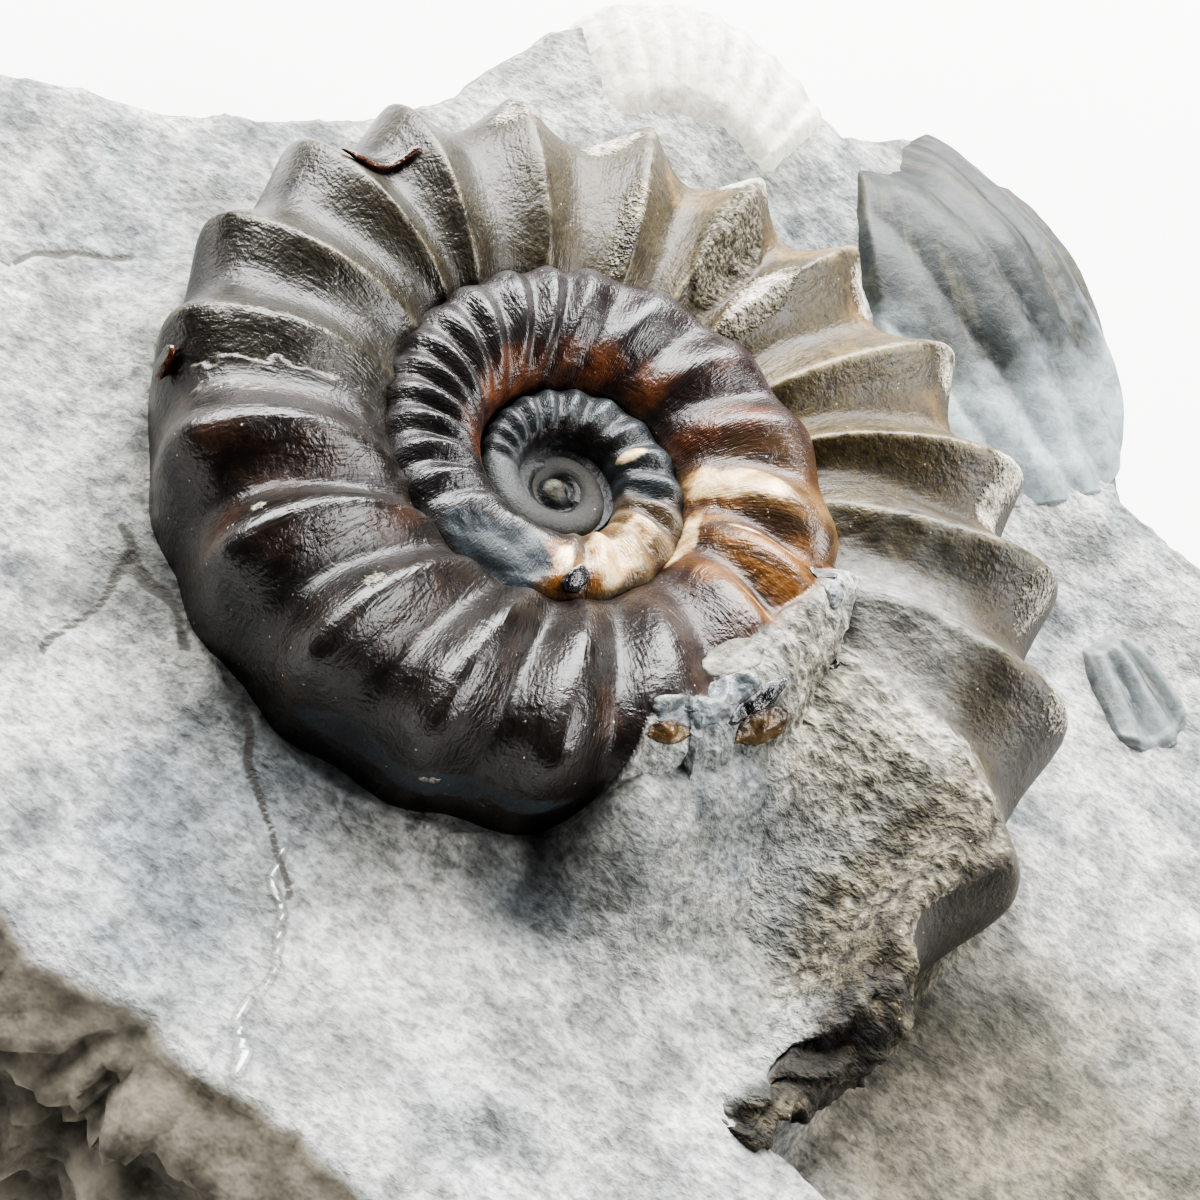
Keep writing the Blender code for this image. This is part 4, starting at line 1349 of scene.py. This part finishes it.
def make_calcite():
    """Mould, glossy layer, stains, mud and dirt, each laid over the last."""
    material, add = new_material("sparry_calcite")
    vector = add("TexCoord", out="Object")
    mottle = add("TexNoise", Vector=vector, Scale=1.0 / MOTTLE_SIZE, Detail=4.0, Roughness=0.68,
                 Distortion=0.3)
    grit = add("TexNoise", Vector=vector, Scale=1.0 / GRIT_SIZE, Detail=1.0, Roughness=0.7)
    turn, rib, section, layer, mud, scab_share, stub, edge, seam, slate = (
        add("Attribute", out="Fac", attribute_name=name)
        for name in ("turn", "rib", "section", "layer", "mud", "scab", "stub", "layer_edge",
                     "seam", "slate"))
    drifted = add("Math", mottle, TONE_DRIFT, turn, operation="MULTIPLY_ADD")
    share = add("Math", drifted, 1.0 / RAMP_TURNS, (-RAMP_START - 0.5 * TONE_DRIFT) / RAMP_TURNS,
                operation="MULTIPLY_ADD")
    mould = mould_colour(add, share, rib, section, mottle, grit)
    colour = add("MixRGB", layer, mould, shell_colour(add, share, rib, mottle))
    light = add("ValToRGB", mottle, stops=((0.36, 0.0), (0.62, 0.7)))
    light = add("Math", rib, 0.5, light, operation="MULTIPLY_ADD")
    light = add("Math", light, 0.15, operation="SUBTRACT", use_clamp=True)
    for name, darker, lighter, crispness in STAIN_PAINT:
        paint = add("MixRGB", light, darker, lighter)
        colour = add("MixRGB", stain_mask(add, name, mottle, crispness), colour, paint)
    # The pale stains: worn pale patches of shell.
    pale_wear_and_sheen = stain_mask(add, "pale", grit, 2.2)
    colour = coat(add, colour, pale_wear_and_sheen, mottle, (0.34, "#4c463b"), (0.46, "#a59e90"),
                  (0.62, "#d6d0c2"))
    colour = coat(add, colour, edge, grit, (0.36, "#2a261e"), (0.62, "#8c8470"))
    dirt = add("Math", seam, add("ValToRGB", mottle, stops=((0.4, 0.1), (0.6, 0.85))),
               operation="MULTIPLY")
    colour = coat(add, colour, dirt, grit, (0.35, "#4b4943"), (0.6, "#9d988b"))
    stone, stone_height = stone_look(add, vector)
    colour = add("MixRGB", mud, colour, stone)
    colour = coat(add, colour, scab_share, grit, (0.36, "#2f2b23"), (0.5, "#565041"),
                  (0.64, "#817a68"))
    dark_end = add("Math", stub, 0.9, operation="MULTIPLY")
    colour = coat(add, colour, dark_end, mottle, (0.34, "#110e09"), (0.5, "#272217"),
                  (0.66, "#5e5643"))
    specks = add("TexVoronoi", Vector=vector, Scale=1.0 / DUST_SPACING, Randomness=1.0)
    dust = add("Math", add("ValToRGB", specks, stops=((0.03, 1.0), (0.09, 0.0))),
               add("ValToRGB", mottle, stops=((0.45, 0.0), (0.6, 0.8))), operation="MULTIPLY")
    colour = add("MixRGB", dust, colour, "#cfcabd")
    matt = mud
    for cover in (pale_wear_and_sheen, stub, scab_share):
        matt = add("Math", matt, cover, operation="MAXIMUM")
    roughness = calcite_roughness(add, share, rib, mottle, slate, matt)
    relief = calcite_relief(add, turn, section, layer, mottle, vector, grit)
    relief = add("MixRGB", matt, relief, stone_height)
    return finish_material(material, colour, roughness, 1.6, relief, WRINKLE_DEPTH, 0.85)


calcite = make_calcite()

# %% [markdown]
# ## Flakes and crumbs
# A thin flake of calcite lets light through, so its rim has another tone than its face,
# which mirrors the room. The grey flakes and the crumbs are shell too, the pale chip is
# stone, and the plug is porous mud, which swallows part of the gloss.

# %% Flake materials
FLAKE_MOTTLE, FLAKE_RELIEF = 0.5 * MM, 0.14 * MM


def make_flake(name, face, rim, roughness, mirror=0.5):
    """A glassy flake: one colour on the face, another where it thins to its rim. `mirror` is
    the specular level: a half for clean calcite, less where pores swallow the gloss."""
    material, add = new_material(name)
    vector = add("TexCoord", out="Object")
    mottle = add("TexNoise", Vector=vector, Scale=1.0 / FLAKE_MOTTLE, Detail=4.0, Roughness=0.65)
    thin = add("ValToRGB", add("Attribute", out="Fac", attribute_name="rim"),
               stops=((0.62, 0.0), (0.9, 1.0)))
    colour = add("MixRGB", thin, face, rim)
    colour = wash(add, colour, 0.7, mottle, (0.34, "#6a6764"), (0.6, "#ffffff"))
    return finish_material(material, colour, roughness, 1.6, mottle, FLAKE_RELIEF, 0.8, mirror)


honey_calcite = make_flake("honey_calcite", "#5a4320", "#3a2610", 0.34)
amber_calcite = make_flake("amber_calcite", "#2b2720", "#53290d", 0.2)
grey_calcite = make_flake("grey_calcite", "#6a7174", "#7b7c77", 0.35)
plug_stone = make_flake("plug_stone", "#4c493f", "#131414", 0.5, 0.28)
pale_stone = make_flake("pale_stone", "#98958a", "#6f6a5e", 0.7)
dark_calcite = make_flake("dark_calcite", "#1d1d1e", "#6f7070", 0.2)

# %% [markdown]
# ## Fossil shell
# The smaller shells are calcite too, but matt and weathered: the fan is a warm off-white,
# the coarse-ribbed one blue-grey with a rusty rim. Colour runs in streaks along the ribs.

# %% Shell materials
SPECK_SIZE, SPECK_RELIEF = 0.7 * MM, 0.07 * MM
WEATHER_SIZE = 4.0 * MM


def make_shell(name, hollow, crest, streak_colour, far_colour, rim_colour, roughness, streaks,
               mirror=0.5):
    """Weathered shell: rib colours, streaks along the ribs, a paler far end, a stained rim
    and fine grain."""
    material, add = new_material(name)
    vector = add("TexCoord", out="Object")
    rib, along, across = (add("Attribute", out="Fac", attribute_name=value)
                          for value in ("rib", "along", "across"))
    lengthwise = add("CombineXYZ", X=add("Math", across, streaks, operation="MULTIPLY"),
                     Y=add("Math", along, 3.0, operation="MULTIPLY"))
    streak = add("TexNoise", Vector=lengthwise, Scale=1.0, Detail=6.0, Roughness=0.65)
    speck = add("TexNoise", Vector=vector, Scale=1.0 / SPECK_SIZE, Detail=5.0, Roughness=0.7,
                Distortion=0.4)
    cloud = add("TexNoise", Vector=vector, Scale=1.0 / WEATHER_SIZE, Detail=4.0, Roughness=0.6)
    far = add("Math", cloud, 0.5, -0.25, operation="MULTIPLY_ADD")
    far = add("Math", far, along, operation="ADD")
    side = add("Math", speck, 0.2, -0.1, operation="MULTIPLY_ADD")
    side = add("Math", side, across, operation="SUBTRACT")
    rusty = add("Math", add("ValToRGB", side, stops=((0.74, 0.0), (0.92, 1.0))),
                add("ValToRGB", cloud, stops=((0.44, 0.0), (0.54, 0.8))), operation="MULTIPLY")
    colour = add("MixRGB", add("ValToRGB", rib, stops=((0.0, 0.1), (0.5, 1.0))), hollow, crest)
    for value, stops, paint in (
        (streak, ((0.50, 0.0), (0.64, 0.8)), streak_colour),
        (cloud, ((0.50, 0.0), (0.64, 0.6)), crest),
        (far, ((0.62, 0.0), (0.80, 0.6)), far_colour),
        (rusty, ((0.0, 0.0), (1.0, 1.0)), rim_colour),
        (side, ((0.95, 0.0), (0.99, 0.7)), "#a9a698"),
    ):
        colour = add("MixRGB", add("ValToRGB", value, stops=stops), colour, paint)
    colour = wash(add, colour, 0.6, speck, (0.32, "#85827d"), (0.5, "#dedcd8"), (0.64, "#ffffff"))
    return finish_material(material, colour, roughness, 1.56, speck, SPECK_RELIEF, 0.7, mirror)


pale_shell = make_shell("pale_fossil_shell", "#b1ada0", "#dddace", "#cfc9b9", "#dddace",
                        "#e6e2d6", 0.72, 22.0)
grey_shell = make_shell("blue_grey_fossil_shell", "#15191b", "#2f3433", "#57564a", "#a9b4b8",
                        "#40341e", 0.5, 6.0, 0.34)
chip_shell = make_shell("grey_fossil_shell", "#2c353a", "#6f7677", "#8a8a83", "#6f7677",
                        "#747979", 0.5, 6.0)

# %% [markdown]
# ## Handing the pieces over
# Every finer piece stands for one solid of the imported model, or for a part of it: it rides
# on the model's only body, replaces the solid's node, which is then hidden, and gets its
# own material.

# %% Hand the pieces over
FLAKE_FINISH = {"amber": amber_calcite, "honey": honey_calcite, "grey": grey_calcite,
                "pale": pale_stone, "dark": dark_calcite, "seam": grey_calcite}
for piece in coil_pieces:
    finish_piece(piece, calcite, "calcite_shell", "ammonite")
for name, piece in flakes.items():
    finish_piece(piece, FLAKE_FINISH[name.split("_")[0]], "calcite_shell", "ammonite")
finish_piece(plug, plug_stone, "calcite_shell", "ammonite")
finish_piece(limestone_block, limestone, "limestone", "limestone_matrix")
finish_piece(fan_shell, pale_shell, "pale_shell", "fan_shell")
finish_piece(ribbed_shell, grey_shell, "grey_shell", "ribbed_shell")
finish_piece(shell_chip, chip_shell, "shell_chip", "shell_fragment")
print("pieces handed over:", len(coil_pieces) + len(flakes) + 5)

# %% [markdown]
# ## Floor and light
# A pale floor, one large soft box behind and to the left that draws the long highlights,
# a weaker one at the right, a faint one in front, and a dim grey room so that the dark
# calcite stays dark. The stage is not part of the object.

# %% Stage
FLOOR_HALF = 1.5            # m
FLOOR_LEVEL = -0.05 * MM    # just clear of the block's underside


def add_floor():
    """A wide pale sheet just under the block."""
    mesh = bpy.data.meshes.new("floor")
    corners = ((-1, -1), (1, -1), (1, 1), (-1, 1))
    mesh.from_pydata([(x * FLOOR_HALF, y * FLOOR_HALF, FLOOR_LEVEL) for x, y in corners],
                     [], [(0, 1, 2, 3)])
    floor = bpy.data.objects.new("floor", mesh)
    bpy.context.scene.collection.objects.link(floor)
    material = new_material("pale_floor")[0]
    shader = material.node_tree.nodes["Principled BSDF"]
    shader.inputs["Base Color"].default_value = linear("#d9d8d6")
    shader.inputs["Roughness"].default_value = 0.8
    mesh.materials.append(material)
    return floor


def add_soft_box(name, azimuth, elevation, distance, wide, high, power):
    """A rectangle of white light on a sphere round the fossil, facing its middle; angles in
    degrees, sizes in metres, power in watts."""
    data = bpy.data.lights.new(name, "AREA")
    data.shape = "RECTANGLE"
    data.size = wide
    data.size_y = high
    data.energy = power
    lamp = bpy.data.objects.new(name, data)
    a, e = math.radians(azimuth), math.radians(elevation)
    away = Vector((math.cos(a) * math.cos(e), math.sin(a) * math.cos(e), math.sin(e)))
    facing = away.to_track_quat("Z", "Y").to_matrix().to_4x4()
    lamp.matrix_world = Matrix.Translation(away * distance) @ facing
    bpy.context.scene.collection.objects.link(lamp)


add_floor()
add_soft_box("key_box", 127.0, 47.0, 0.44, 0.74, 0.34, 13.5)
add_soft_box("side_box", 10.0, 36.0, 0.45, 0.30, 0.22, 2.4)
add_soft_box("front_box", 250.0, 60.0, 0.5, 0.3, 0.3, 0.1)
world = bpy.data.worlds.new("room")
world.use_nodes = True
world.node_tree.nodes["Background"].inputs["Color"].default_value = linear("#c8ccd2")
world.node_tree.nodes["Background"].inputs["Strength"].default_value = 0.10
bpy.context.scene.world = world
bpy.context.scene.view_settings.look = "AgX - High Contrast"
